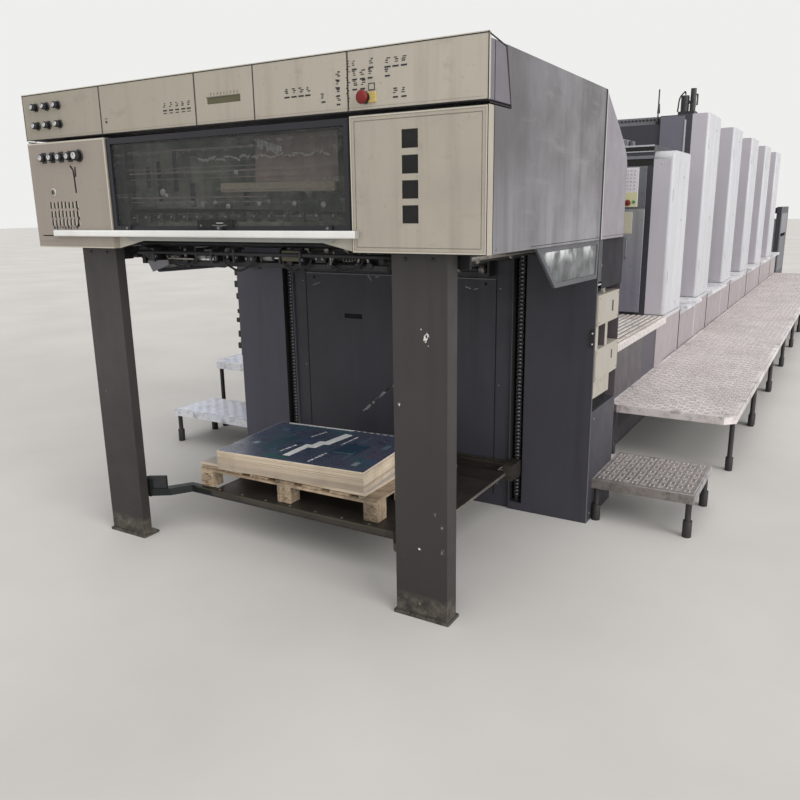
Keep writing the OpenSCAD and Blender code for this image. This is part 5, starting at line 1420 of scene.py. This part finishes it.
def slope_panel(piece, start, end, half, rise, margin, mat, sink=14):
    """A plate on a slope between two points in Y and Z, sunk below them, spanning X = -half to half."""
    a, b = Vector((start[0], start[1])), Vector((end[0], end[1]))
    along = (b - a).normalized()
    out = Vector((along.y, -along.x))
    if out.y < 0:
        out = -out
    if abs(out.y) < 1e-6 and out.x < 0:
        out = -out
    a, b = a + along * margin - out * sink, b - along * margin - out * sink
    ring = [a - out * 0.5, b - out * 0.5, b + out * rise, a + out * rise]
    piece.prism([(p.x, p.y) for p in ring], "x", -half, half, mat)
    return (a + b) / 2 + out * rise, out, along


def grab_bar(piece, a, b, out, r, mat):
    """A round handle on two stand-offs."""
    a, b, out = Vector(a), Vector(b), Vector(out)
    piece.pipe((a, a + out, b + out, b), r, mat, 10)


def extension_details():
    """Doors of the wide base, louvres, lids and bolts of the chain housing."""
    low, high = span("extension_housing")
    coater_low, coater_high = span("coater_body")
    platform = next(span("upper_platforms")).z
    tower = next(span("lower_covers_right"))
    piece = Piece("extension_doors")
    wide = high.x
    for side in (-1, 1):
        def leaf(y0, y1, z0, z1, out, mat, round_by=1.5):
            x0, x1 = sorted((side * (wide - 0.5), side * (wide + out)))
            piece.block((x0, y0, z0), (x1, y1, z1), mat, round_by)
        leaf(low.y + 8, low.y + 740, 22, platform - 4, 4, "door_mauve")
        leaf(low.y + 748, low.y + 1560, 22, platform - 4, 4, "door_mauve")
        leaf(low.y + 1568, coater_low.y - 296, 22, platform - 4, 2, "door_dark")
        leaf(coater_low.y - 288, coater_low.y - 3, 22, platform - 4, 8, "cover_light", 3)
        for y in (low.y + 700, low.y + 800):
            piece.turned((side * (wide + 4), y, 420), (side, 0, 0), ((-0.5, 13), (2, 13), (3, 9)), "bolt_steel", 24)
            piece.block(tuple(sorted((side * (wide + 6), side * (wide + 8))))[:1] + (y - 2, 412),
                        tuple(sorted((side * (wide + 6), side * (wide + 8))))[1:] + (y + 2, 428), "gap_black")
        for k in range(9):
            leaf(low.y + 1000, low.y + 1380, 120 + k * 18, 126 + k * 18, 7, "door_dark", 0.8)
    piece.finish()

    piece = Piece("chain_housing_trim")
    narrow = HOUSING_HALF
    for side in (-1, 1):
        x0, x1 = sorted((side * (narrow - 0.5), side * (narrow + 2.5)))
        for k in range(3):
            y0 = low.y + 30 + k * 700
            piece.block((x0, y0, platform + 60), (x1, y0 + 660, platform + 560), "panel_slate", 1.5)
            for y in (y0 + 14, y0 + 646):
                for z in (platform + 76, platform + 544):
                    piece.turned((side * (narrow + 2.5), y, z), (side, 0, 0), ((-0.5, 6), (1.4, 6), (2.4, 4)),
                                 "bolt_steel", 12)
            grab = side * (narrow + 2)
            grab_bar(piece, (grab, y0 + 270, platform + 470), (grab, y0 + 390, platform + 470), (side * 30, 0, 0), 6,
                     "chrome")
    piece.finish()


def platform_ribs():
    """Ribs along the upper platforms and the saw-toothed strip on their outer edge."""
    low, high = span("upper_platforms")
    inner = HOUSING_HALF
    piece = Piece("platform_ribs")
    top, foot = high.z, low.z
    for side in (-1, 1):
        count = 9
        pitch = (high.x - inner - 20) / count
        for k in range(count):
            a = side * (inner + 12 + k * pitch)
            b = side * (inner + 12 + k * pitch + pitch * 0.62)
            x0, x1 = min(a, b), max(a, b)
            piece.prism([(x0, top - 1), (x0 + 3, top + 4), (x1 - 3, top + 4), (x1, top - 1)], "y", low.y + 3, high.y - 3,
                        "platform_pale")
        edge = side * high.x
        x0, x1 = sorted((edge - side * 14, edge + side * 3))
        piece.block((x0, low.y, top - 2), (x1, high.y - 2, top + 4), "platform_pale", 2)
        y = low.y + 6
        while y < high.y - 20:
            x0, x1 = sorted((edge - side * 1, edge + side * 5))
            piece.block((x0, y, foot + 1), (x1, y + 19, top + 1), "stud_warm")
            y += 38
        # A black strip behind the edge teeth paints the shade in the gaps between them.
        x0, x1 = sorted((edge - side * 1, edge + side * 1.2))
        piece.block((x0, low.y + 2, foot), (x1, high.y - 2, top), "gap_black")
    piece.finish()


def coater_keys(face):
    """The coater's pale key panel with a stop button on a yellow ground, and a beige plate below it."""
    piece = Piece("coater_keys")
    y = face - 5
    piece.block((498, y - 8, 1492), (604, y + 1, 1778), "key_panel", 2)
    piece.block((500, y - 9, 1494), (602, y - 7.5, 1600), "key_ground", 0.8)
    piece.turned((534, y - 9, 1524), (0, -1, 0), ((0, 22), (3, 22), (5, 16)), "black_plastic", 24)
    piece.turned((534, y - 14, 1524), (0, -1, 0), ((0, 15), (8, 15), (10, 21), (16, 20), (20, 13)), "stop_plastic", 24)
    piece.turned((580, y - 9, 1530), (0, -1, 0), ((0, 11), (5, 11), (7, 8)), "key_green", 20)
    for r in range(6):
        for c in range(3):
            x, z = 524 + c * 27, 1626 + r * 26
            piece.block((x - 9, y - 9.5, z - 8), (x + 9, y - 7.5, z + 8), "key_panel", 1)
            piece.block((x - rng.uniform(3, 7), y - 10, z - 2), (x + rng.uniform(3, 7), y - 9, z + 2), "ink_soft")
    piece.block((506, y - 5, 1296), (574, y - 1, 1456), "tape_belt", 2)
    piece.finish()


def coater_details():
    """Panels on both sides of the coating unit's front, its guards and its rollers."""
    low, high = span("coater_body")
    inner = HOUSING_HALF + 4
    side_x = high.x - 3
    y = low.y
    top = high.z
    piece = Piece("coater_panels")
    for side in (-1, 1):
        def sheet(x0, x1, z0, z1, out, mat, round_by=1.0):
            a, b = sorted((side * x0, side * x1))
            piece.block((a, y - out, z0), (b, y + 0.3, z1), mat, round_by)
        sheet(inner, side_x, top - 12, top, 5, "edge_pale")
        sheet(inner, side_x, top - 43, top - 13, 1, "gap_black")
        sheet(inner, side_x, top - 50, top - 43, 5, "edge_pale")
        sheet(inner, side_x, top - 74, top - 51, 1, "panel_shade")
        sheet(inner, side_x, top - 98, top - 75, 4, "panel_grey")
        sheet(inner, side_x, top - 146, top - 99, 1, "gap_black")
        sheet(inner + 4, side_x - 40, 1480, top - 148, 5, "panel_dark", 3)
        sheet(inner + 4, side_x - 40, 1475, 1479, 7, "edge_pale")
        sheet(side_x - 38, side_x, 700, top - 148, 2, "panel_shade")
        sheet(inner + 4, side_x - 40, 700, 1473, 8, "coater_lower", 4)
        for z in (760, 1400, 1520, 1760):
            for x in (inner + 18, side_x - 54):
                piece.turned((side * x, y - (9 if z < 1476 else 6), z), (0, -1, 0), ((-0.5, 5), (1.2, 5), (2, 3)),
                             "bolt_steel", 12)
        grab_bar(piece, (side * (inner + 60), y - 8, 1120), (side * (inner + 60), y - 8, 1260), (0, -26, 0), 6,
                 "panel_grey")
    piece.finish()
    coater_keys(y)

    piece = Piece("coater_guards")
    half = side_x - 76
    points = ((high.y, 1000), (low.y + 900, 1050), (low.y + 620, 1480), (low.y + 620, high.z))
    for (a, b), mat in zip(zip(points, points[1:]), ("panel_shade", "panel_slate", "panel_slate")):
        centre, out, along = slope_panel(piece, a, b, half, 9, 18, mat)
        spot = Vector((0, centre.x, centre.y))
        grab_bar(piece, spot + Vector((-half * 0.55, 0, 0)), spot + Vector((half * 0.55, 0, 0)),
                 Vector((0, out.x, out.y)) * 26, 7, "chrome")
    for yy, zz, r in ((330, high.z + 28, 46), (430, high.z + 16, 34)):
        piece.rod((-400, low.y + yy, zz), (400, low.y + yy, zz), r, "chrome" if r > 40 else "rubber", 36)
    for side in (-1, 1):
        piece.block(tuple(sorted((side * 400, side * 436)))[:1] + (low.y + 260, high.z - 16),
                    tuple(sorted((side * 400, side * 436)))[1:] + (low.y + 500, high.z + 66), "panel_grey", 6)
        piece.turned((side * 436, low.y + 330, high.z + 28), (side, 0, 0), ((-1, 34), (12, 34), (16, 30)),
                     "black_plastic", 32)
    piece.finish()


def unit_details(k):
    """Guards with bars, footplates, the ink fountain and its rollers, and the keys of one printing unit."""
    low, high = span("unit_body_%d" % k)
    front, back = low.y, high.y
    tower_low, tower_high = span("unit_towers_%d" % k)
    tower_end = tower_high.y
    top = high.z - 47
    half = high.x - 80
    piece = Piece("unit_%d_guards" % k)
    points = ((back, 1020), (front + 1180, 1060), (front + 860, 1330), (tower_end + 20, 1900), (tower_end + 20, top))
    mats = ("panel_shade", "panel_slate", "panel_blue", "panel_slate")
    for (a, b), mat in zip(zip(points, points[1:]), mats):
        centre, out, along = slope_panel(piece, a, b, half, 8, 16, mat)
        spot = Vector((0, centre.x, centre.y))
        if mat != "panel_shade":
            for x in (-0.55, 0.1):
                grab_bar(piece, spot + Vector((half * x, 0, 0)), spot + Vector((half * (x + 0.45), 0, 0)),
                         Vector((0, out.x, out.y)) * 28, 7, "chrome")
    for x in (-1, 1):
        for z, y in ((1400, front + 800), (1700, front + 690)):
            piece.turned((x * (high.x - 20), y, z), (0, 0, 1), ((-1, 4), (1, 4)), "bolt_steel", 8)
    piece.finish()

    piece = Piece("unit_%d_fountain" % k)
    inner = 426
    base = top - 14
    piece.prism([(front + 60, base), (front + 60, base + 66), (front + 80, base + 66), (front + 190, base + 18),
                 (front + 190, base)], "x", -inner, inner, "panel_grey")
    piece.rod((-inner, front + 230, base + 34), (inner, front + 230, base + 34), 42, "chrome", 40)
    piece.rod((-inner, front + 316, base + 16), (inner, front + 316, base + 16), 30, "roller_rubber", 32)
    piece.rod((-inner, front + 392, base + 26), (inner, front + 392, base + 26), 36, "roller_rubber", 32)
    for j in range(26):
        x = -inner + 22 + j * (2 * inner - 44) / 25
        piece.turned((x, front + 61, base + 44), (0, -1, 0), ((0, 9), (12, 9), (14, 6)), "black_plastic", 14)
    piece.block((-inner, front + 450, base), (inner, tower_end + 4, base + 20), "panel_shade", 3)
    grab_bar(piece, (-160, front + 540, base + 18), (160, front + 540, base + 18), (0, 0, 28), 7, "chrome")
    for side in (-1, 1):
        a, b = sorted((side * 404, side * 428))
        piece.block((a, front + 180, base), (b, front + 440, base + 74), "panel_grey", 5)
        lid0, lid1 = sorted((side * 436, side * (high.x - 3)))
        piece.block((lid0, front + 260, high.z - 0.5), (lid1, tower_end - 8, high.z + 5), "panel_slate", 2)
        piece.block((lid0, front + 6, high.z - 0.5), (lid1, front + 26, high.z + 5), "panel_slate", 2)
        f0, f1 = sorted((side * 436, side * (high.x - 60)))
        piece.block((f0, front - 3, top - 620), (f1, front + 0.3, high.z - 4), "box_slate", 2)
        # A pale strip on each side of the front paints a bright vertical highlight.
        h0, h1 = sorted((side * 642, side * 656))
        piece.block((h0, front - 9, top - 560), (h1, front - 2.5, high.z - 40), "edge_pale", 2)
        g0, g1 = sorted((side * (high.x - 56), side * (high.x - 4)))
        piece.block((g0, front - 2, top - 620), (g1, front + 0.3, high.z - 4), "panel_shade", 1)
    piece.finish()


def tower_details():
    """Folds, locks, hinges and end caps of the end covers, with a row of keys on each."""
    names = ["coater_towers"] + ["unit_towers_%d" % k for k in range(1, 6)]
    piece = Piece("tower_trim")
    for n, name in enumerate(names):
        low, high = span(name)
        round_top = n == 0
        top = high.z - (60 if round_top else 0)
        for side in (-1, 1):
            x = side * high.x
            a, b = sorted((x - side * 0.3, x + side * 0.7))
            for y in (low.y + 205, low.y + 415):
                piece.block((a, y - 1, low.z + 10), (b, y + 1, top - 8), "seam_grey")
            for z in (low.z + 60, low.z + 700, top - 120):
                piece.turned((x, low.y + 390, z), (side, 0, 0), ((-0.5, 12), (1.5, 12), (2.2, 9)), "knob_cap", 20)
                piece.block((min(x + side * 2, x + side * 3), low.y + 388, z - 7),
                            (max(x + side * 2, x + side * 3), low.y + 392, z + 7), "gap_black")
            for z in (low.z + 240, top - 300):
                c, d = sorted((x - side * 0.4, x + side * 3))
                piece.block((c, low.y + 26, z), (d, low.y + 34, z + 90), "seam_grey", 1)
            inner = side * (high.x - 145)
            e, f = sorted((inner + side * 30, x - side * 30))
            if not round_top:
                piece.block((e, low.y + 20, high.z - 0.5), (f, high.y - 20, high.z + 4), "cover_light", 2)
            e, f = sorted((inner + side * 1, x - side * 22))
            piece.block((e, low.y - 0.5, low.z + 1), (f, low.y + 0.3, top - 3), "tower_front")
            for z in (low.z + 30, top - 30):
                piece.turned(((e + f) / 2, low.y - 1.2, z), (0, -1, 0), ((-0.5, 6), (1, 6), (2, 4)), "knob_cap", 16)
            if n:
                key0, key1 = sorted((inner + side * 40, x - side * 40))
                piece.block((key0, high.y - 0.3, low.z + 520), (key1, high.y + 4, low.z + 760), "black_plastic", 2)
                for r in range(6):
                    for c in range(2):
                        px, pz = key0 + 16 + c * 34, low.z + 540 + r * 36
                        piece.block((px - 10, high.y + 3.5, pz - 10), (px + 10, high.y + 7, pz + 10),
                                    ("knob_cap", "key_green", "knob_cap", "key_red")[(r + c) % 4], 2)
    piece.finish()


def cover_details():
    """Seams, locks and panels of the lower covers, and the footboards' ribs and edge teeth."""
    piece = Piece("cover_trim")
    low, high = span("lower_covers_right")
    board_low, board_high = span("footboards")
    starts = [next(span("coater_towers")).y] + [next(span("unit_towers_%d" % k)).y for k in range(1, 6)]
    length = starts[2] - starts[1]
    tower_len = 620
    for n, a in enumerate(starts):
        end = a + (starts[1] - starts[0] if n == 0 else length)
        b = a + tower_len
        for side in (-1, 1):
            x = side * high.x
            p, q = sorted((x - side * 0.3, x + side * 1.5))
            piece.block((p, a + 20, low.z + 24), (q, b - 20, high.z - 30), "cover_light", 1)
            piece.block((p, b + 26, low.z + 24), (q, end - 26, high.z - 70), "cover_light", 1)
            p, q = sorted((x - side * 1, x + side * 4))
            piece.block((p, b - 2, low.z), (q, b + 10, board_low.z - 2), "gap_black", 0.5)
            for y in (a + 60, b - 60, b + 90, end - 90):
                piece.turned((x + side * 1.2, y, 330), (side, 0, 0), ((-0.5, 13), (1.8, 13), (2.6, 9)), "knob_cap", 20)
                piece.block((min(x + side * 3, x + side * 4.4), y - 8, 328), (max(x + side * 3, x + side * 4.4), y + 8, 332),
                            "gap_black")
            edge = side * board_high.x
            for r in range(8):
                u = edge - side * (14 + r * 22)
                piece.block((min(u, u - side * 12), b + 16, board_high.z - 1), (max(u, u - side * 12), end - 16,
                            board_high.z + 3), "board_pale")
            g0, g1 = sorted((edge - side * 1, edge + side * 4))
            yy = b + 14
            while yy < end - 30:
                piece.block((g0, yy, board_low.z + 2), (g1, yy + 13, board_high.z), "board_pale")
                yy += 27
    piece.finish()


def tread_studs(name, nodes, body=STAY):
    """Raised bars in small groups, laid across and along in turn, on the walkways' treads, with painted shade on their
    sloping sides.
    """
    piece = Piece(name)
    cell = 40.0
    for node, cut, bright, side in nodes:
        low, high = span(node)
        cols, rows = int((high.x - low.x - 30) / cell), int((high.y - low.y - 30) / cell)
        first = Vector((low.x + high.x - cols * cell, low.y + high.y - rows * cell)) / 2
        for r in range(rows):
            for c in range(cols):
                x, y = first.x + (c + 0.5) * cell, first.y + (r + 0.5) * cell
                if cut and y - low.y < cut + 24 and min(x - low.x, high.x - x) < cut + 24:
                    continue
                if (r + c) % 2:
                    for d in (-13, 0, 13):
                        piece.bump((x - 16, y + d - 4, high.z), (x + 16, y + d + 4), 2.8, 1.6, bright, side)
                else:
                    for d in (-10, 10):
                        piece.bump((x + d - 4, y - 16, high.z), (x + d + 4, y + 16), 2.2, 1.6, bright, side)
    piece.finish(body)


def walkway_studs():
    # Each pair is a top and a side material: painted shade on the sides, and a painted bluish reflection on the cool
    # pair.
    warm, cool = ("stud_warm", "stud_warm_shaded_side"), ("stud_cool", "stud_cool_shaded_side")
    tread_studs("gallery_studs_right", (("gallery_right", 60, *warm),))
    tread_studs("gallery_studs_left", (("gallery_left", 60, *cool),))
    tread_studs("step_studs", (("step_right", 0, "stud_lit_top", "stud_shaded_side"), ("step_left", 0, *cool)))


def walkway_edges():
    """Rolled edges of the walkways, and the ribs along the right step's outer side."""
    piece = Piece("walkway_edges")
    for node in ("gallery_right", "gallery_left", "step_right", "step_left"):
        low, high = span(node)
        z1, z0 = high.z, high.z - 40
        for x in (low.x, high.x):
            inward = 1 if x == low.x else -1
            piece.rod((x + inward * 5, low.y + (70 if "gallery" in node else 8), z1 - 4),
                      (x + inward * 5, high.y - 6, z1 - 4), 4.6, "tread_aluminium", 10)
        piece.rod((low.x + (70 if "gallery" in node else 8), low.y + 5, z1 - 4),
                  (high.x - (70 if "gallery" in node else 8), low.y + 5, z1 - 4), 4.6, "tread_aluminium", 10)
    low, high = span("step_right")
    y = low.y + 12
    while y < high.y - 20:
        piece.block((high.x - 1, y, high.z - 30), (high.x + 4, y + 12, high.z - 3), "tread_aluminium")
        y += 26
    piece.finish()


def feed_details():
    """Conveyor tapes, rods, posts and wheels of the feed board; side panels, a key panel and bolts of the feeder."""
    low, high = span("feed_board")
    feeder_low, feeder_high = span("feeder_frame")
    head_low, head_high = span("feeder_head")
    piece = Piece("feeder_details")
    z = high.z
    for x in (-320, -190, -60, 60, 190, 320):
        piece.block((x - 22, low.y + 30, z - 0.6), (x + 22, high.y - 30, z + 1.6), "tape_belt", 0.4)
    for x in (-380, 380):
        piece.rod((x, low.y + 30, z + 60), (x, high.y - 30, z + 60), 9, "chrome", 16)
        for t in (0.15, 0.5, 0.85):
            y = low.y + t * (high.y - low.y)
            piece.rod((x, y, z - 1), (x, y, z + 60), 9, "black_steel", 14)
    for t in (0.3, 0.65):
        y = low.y + t * (high.y - low.y)
        piece.rod((-380, y, z + 60), (380, y, z + 60), 8, "chrome", 16)
        for x in (-255, -125, 0, 125, 255):
            piece.rod((x - 9, y, z + 16), (x + 9, y, z + 16), 14, "rubber", 24)
            piece.block((x - 5, y - 5, z + 14), (x + 5, y + 5, z + 62), "black_steel", 1)
    side = feeder_high.x
    for s in (-1, 1):
        x = s * side
        a, b = sorted((x - s * 0.4, x + s * 4))
        piece.block((a, feeder_low.y + 120, 260), (b, feeder_high.y - 160, 900), "panel_slate", 3)
        piece.block((a, feeder_low.y + 120, 960), (b, feeder_high.y - 160, feeder_high.z - 120), "panel_grey", 3)
        piece.block((a, feeder_high.y - 130, 960), (b, feeder_high.y - 40, 1330), "black_plastic", 2)
        for r in range(7):
            for c in range(2):
                y, zz = feeder_high.y - 108 + c * 46, 990 + r * 46
                piece.block((min(x + s * 3, x + s * 8), y - 13, zz - 13), (max(x + s * 3, x + s * 8), y + 13, zz + 13),
                            ("knob_cap", "key_green", "key_red", "knob_cap")[(r * 2 + c) % 4], 2)
        for y in (feeder_low.y + 150, feeder_high.y - 190):
            for zz in (290, 870):
                piece.turned((x + s * 3.6, y, zz), (s, 0, 0), ((-0.5, 8), (1.5, 8), (2.5, 5)), "bolt_steel", 14)
    piece.finish()


def pump_details():
    """Motor fins, a bottle, a switch box and a pipe on the first unit's pump."""
    low, high = span("ink_pump")
    piece = Piece("pump_fittings")
    foot = next(span("unit_body_1")).z
    base = span("unit_body_1")
    next(base)
    top = next(base).z + 40
    for k in range(9):
        piece.rod((600, low.y + 165, top + 18 + k * 13), (600, low.y + 165, top + 22 + k * 13), 37, "knob_cap", 28)
    piece.turned((668, low.y + 165, top + 40), (0, 0, 1), ((0, 25), (60, 26), (96, 24), (112, 14), (130, 13)),
                 "bottle_white", 28)
    piece.block((640, low.y + 190, top + 60), (698, low.y + 232, high.z - 40), "black_plastic", 3)
    piece.block((648, low.y + 188, top + 90), (690, low.y + 191, top + 112), "knob_cap", 1)
    piece.pipe(((600, low.y + 165, top + 150), (600, low.y + 140, top + 176), (560, low.y + 110, top + 120),
                (552, low.y + 100, top + 2)), 6, "rubber", 10)
    piece.rod((404, low.y + 30, high.z - 200), (404, low.y + 30, high.z - 120), 13, "black_plastic", 18, r2=8)
    piece.finish()


# Stage, light and camera

def stage_floor():
    mesh = bpy.data.meshes.new("floor")
    size = 80.0
    mesh.from_pydata([(-size, -size, 0), (size, -size, 0), (size, size, 0), (-size, size, 0)], [], [(0, 1, 2, 3)])
    floor = bpy.data.objects.new("floor", mesh)
    bpy.context.scene.collection.objects.link(floor)
    s = Shader("floor_pale", 0.75)
    s.colour(s.mix(s.window(s.noise(0.7, detail=4), 0.35, 0.65), srgb(206, 203, 198), srgb(216, 213, 208)))
    mesh.materials.append(s.mat)


def world_light():
    """Soft white light all round, which the camera and reflections see as a pale backdrop."""
    world = bpy.data.worlds.new("studio")
    bpy.context.scene.world = world
    world.use_nodes = True
    tree = world.node_tree
    out = next(n for n in tree.nodes if n.type == "OUTPUT_WORLD")
    light = next(n for n in tree.nodes if n.type == "BACKGROUND")
    light.inputs["Color"].default_value = (1.0, 1.0, 1.0, 1.0)
    light.inputs["Strength"].default_value = 0.5
    shown = tree.nodes.new("ShaderNodeBackground")
    shown.inputs["Color"].default_value = (0.86, 0.86, 0.85, 1.0)
    shown.inputs["Strength"].default_value = 1.0
    path = tree.nodes.new("ShaderNodeLightPath")
    mix = tree.nodes.new("ShaderNodeMixShader")
    seen = path.outputs["Is Camera Ray"]
    for ray in ("Is Glossy Ray", "Is Transmission Ray"):
        either = tree.nodes.new("ShaderNodeMath")
        either.operation = "MAXIMUM"
        tree.links.new(seen, either.inputs[0])
        tree.links.new(path.outputs[ray], either.inputs[1])
        seen = either.outputs[0]
    tree.links.new(seen, mix.inputs[0])
    tree.links.new(light.outputs[0], mix.inputs[1])
    tree.links.new(shown.outputs[0], mix.inputs[2])
    tree.links.new(mix.outputs[0], out.inputs["Surface"])


def sun(name, direction, strength, spread):
    light = bpy.data.lights.new(name, "SUN")
    light.energy = strength
    light.angle = math.radians(spread)
    obj = bpy.data.objects.new(name, light)
    obj.rotation_mode = "QUATERNION"
    obj.rotation_quaternion = Vector(direction).to_track_quat("-Z", "Y")
    bpy.context.scene.collection.objects.link(obj)


def lights():
    sun("skylight", (-0.25, 0.35, -1.0), 0.9, 60)
    sun("doorlight", (-1.0, 0.35, -0.35), 1.9, 40)
    sun("frontlight", (-0.1, 1.0, -0.3), 0.25, 60)


def camera():
    """The photograph's own view: focal length in pixels of the 800 pixel frame, angles and place."""
    focal_px = 758.8
    frame_px = 800
    yaw = math.radians(30.79)
    pitch = math.radians(14.11)
    roll = math.radians(0.79)
    place = Vector((2.067, at(-2.166), 1.500))
    forward = Vector((-math.sin(yaw) * math.cos(pitch), math.cos(yaw) * math.cos(pitch), -math.sin(pitch)))
    level = Vector((math.cos(yaw), math.sin(yaw), 0))
    down = forward.cross(level)
    right = math.cos(roll) * level + math.sin(roll) * down
    below = -math.sin(roll) * level + math.cos(roll) * down
    data = bpy.data.cameras.new("camera")
    data.sensor_width = 36.0
    data.lens = focal_px / frame_px * data.sensor_width
    data.clip_end = 200
    cam = bpy.data.objects.new("camera", data)
    cam.matrix_world = Matrix.Translation(place) @ Matrix((right, -below, -forward)).transposed().to_4x4()
    bpy.context.scene.collection.objects.link(cam)
    bpy.context.scene.camera = cam


dress_cad()
strip_keys()
knobs()
stop_button()
panel_trim()
corner_gussets()
guard_parts()
handle_bar()
hood_inside()
hood_details()
delivery_mechanism()
side_mechanism()
column_details()
pillar_details()
wall_details()
box_details()
lift_details()
sheet_print()
pile_edges()
pallet_details()
extension_details()
platform_ribs()
coater_details()
for k in range(1, 6):
    unit_details(k)
tower_details()
cover_details()
walkway_studs()
walkway_edges()
feed_details()
pump_details()
stage_floor()
world_light()
lights()
camera()
bpy.context.scene.view_settings.view_transform = "Standard"
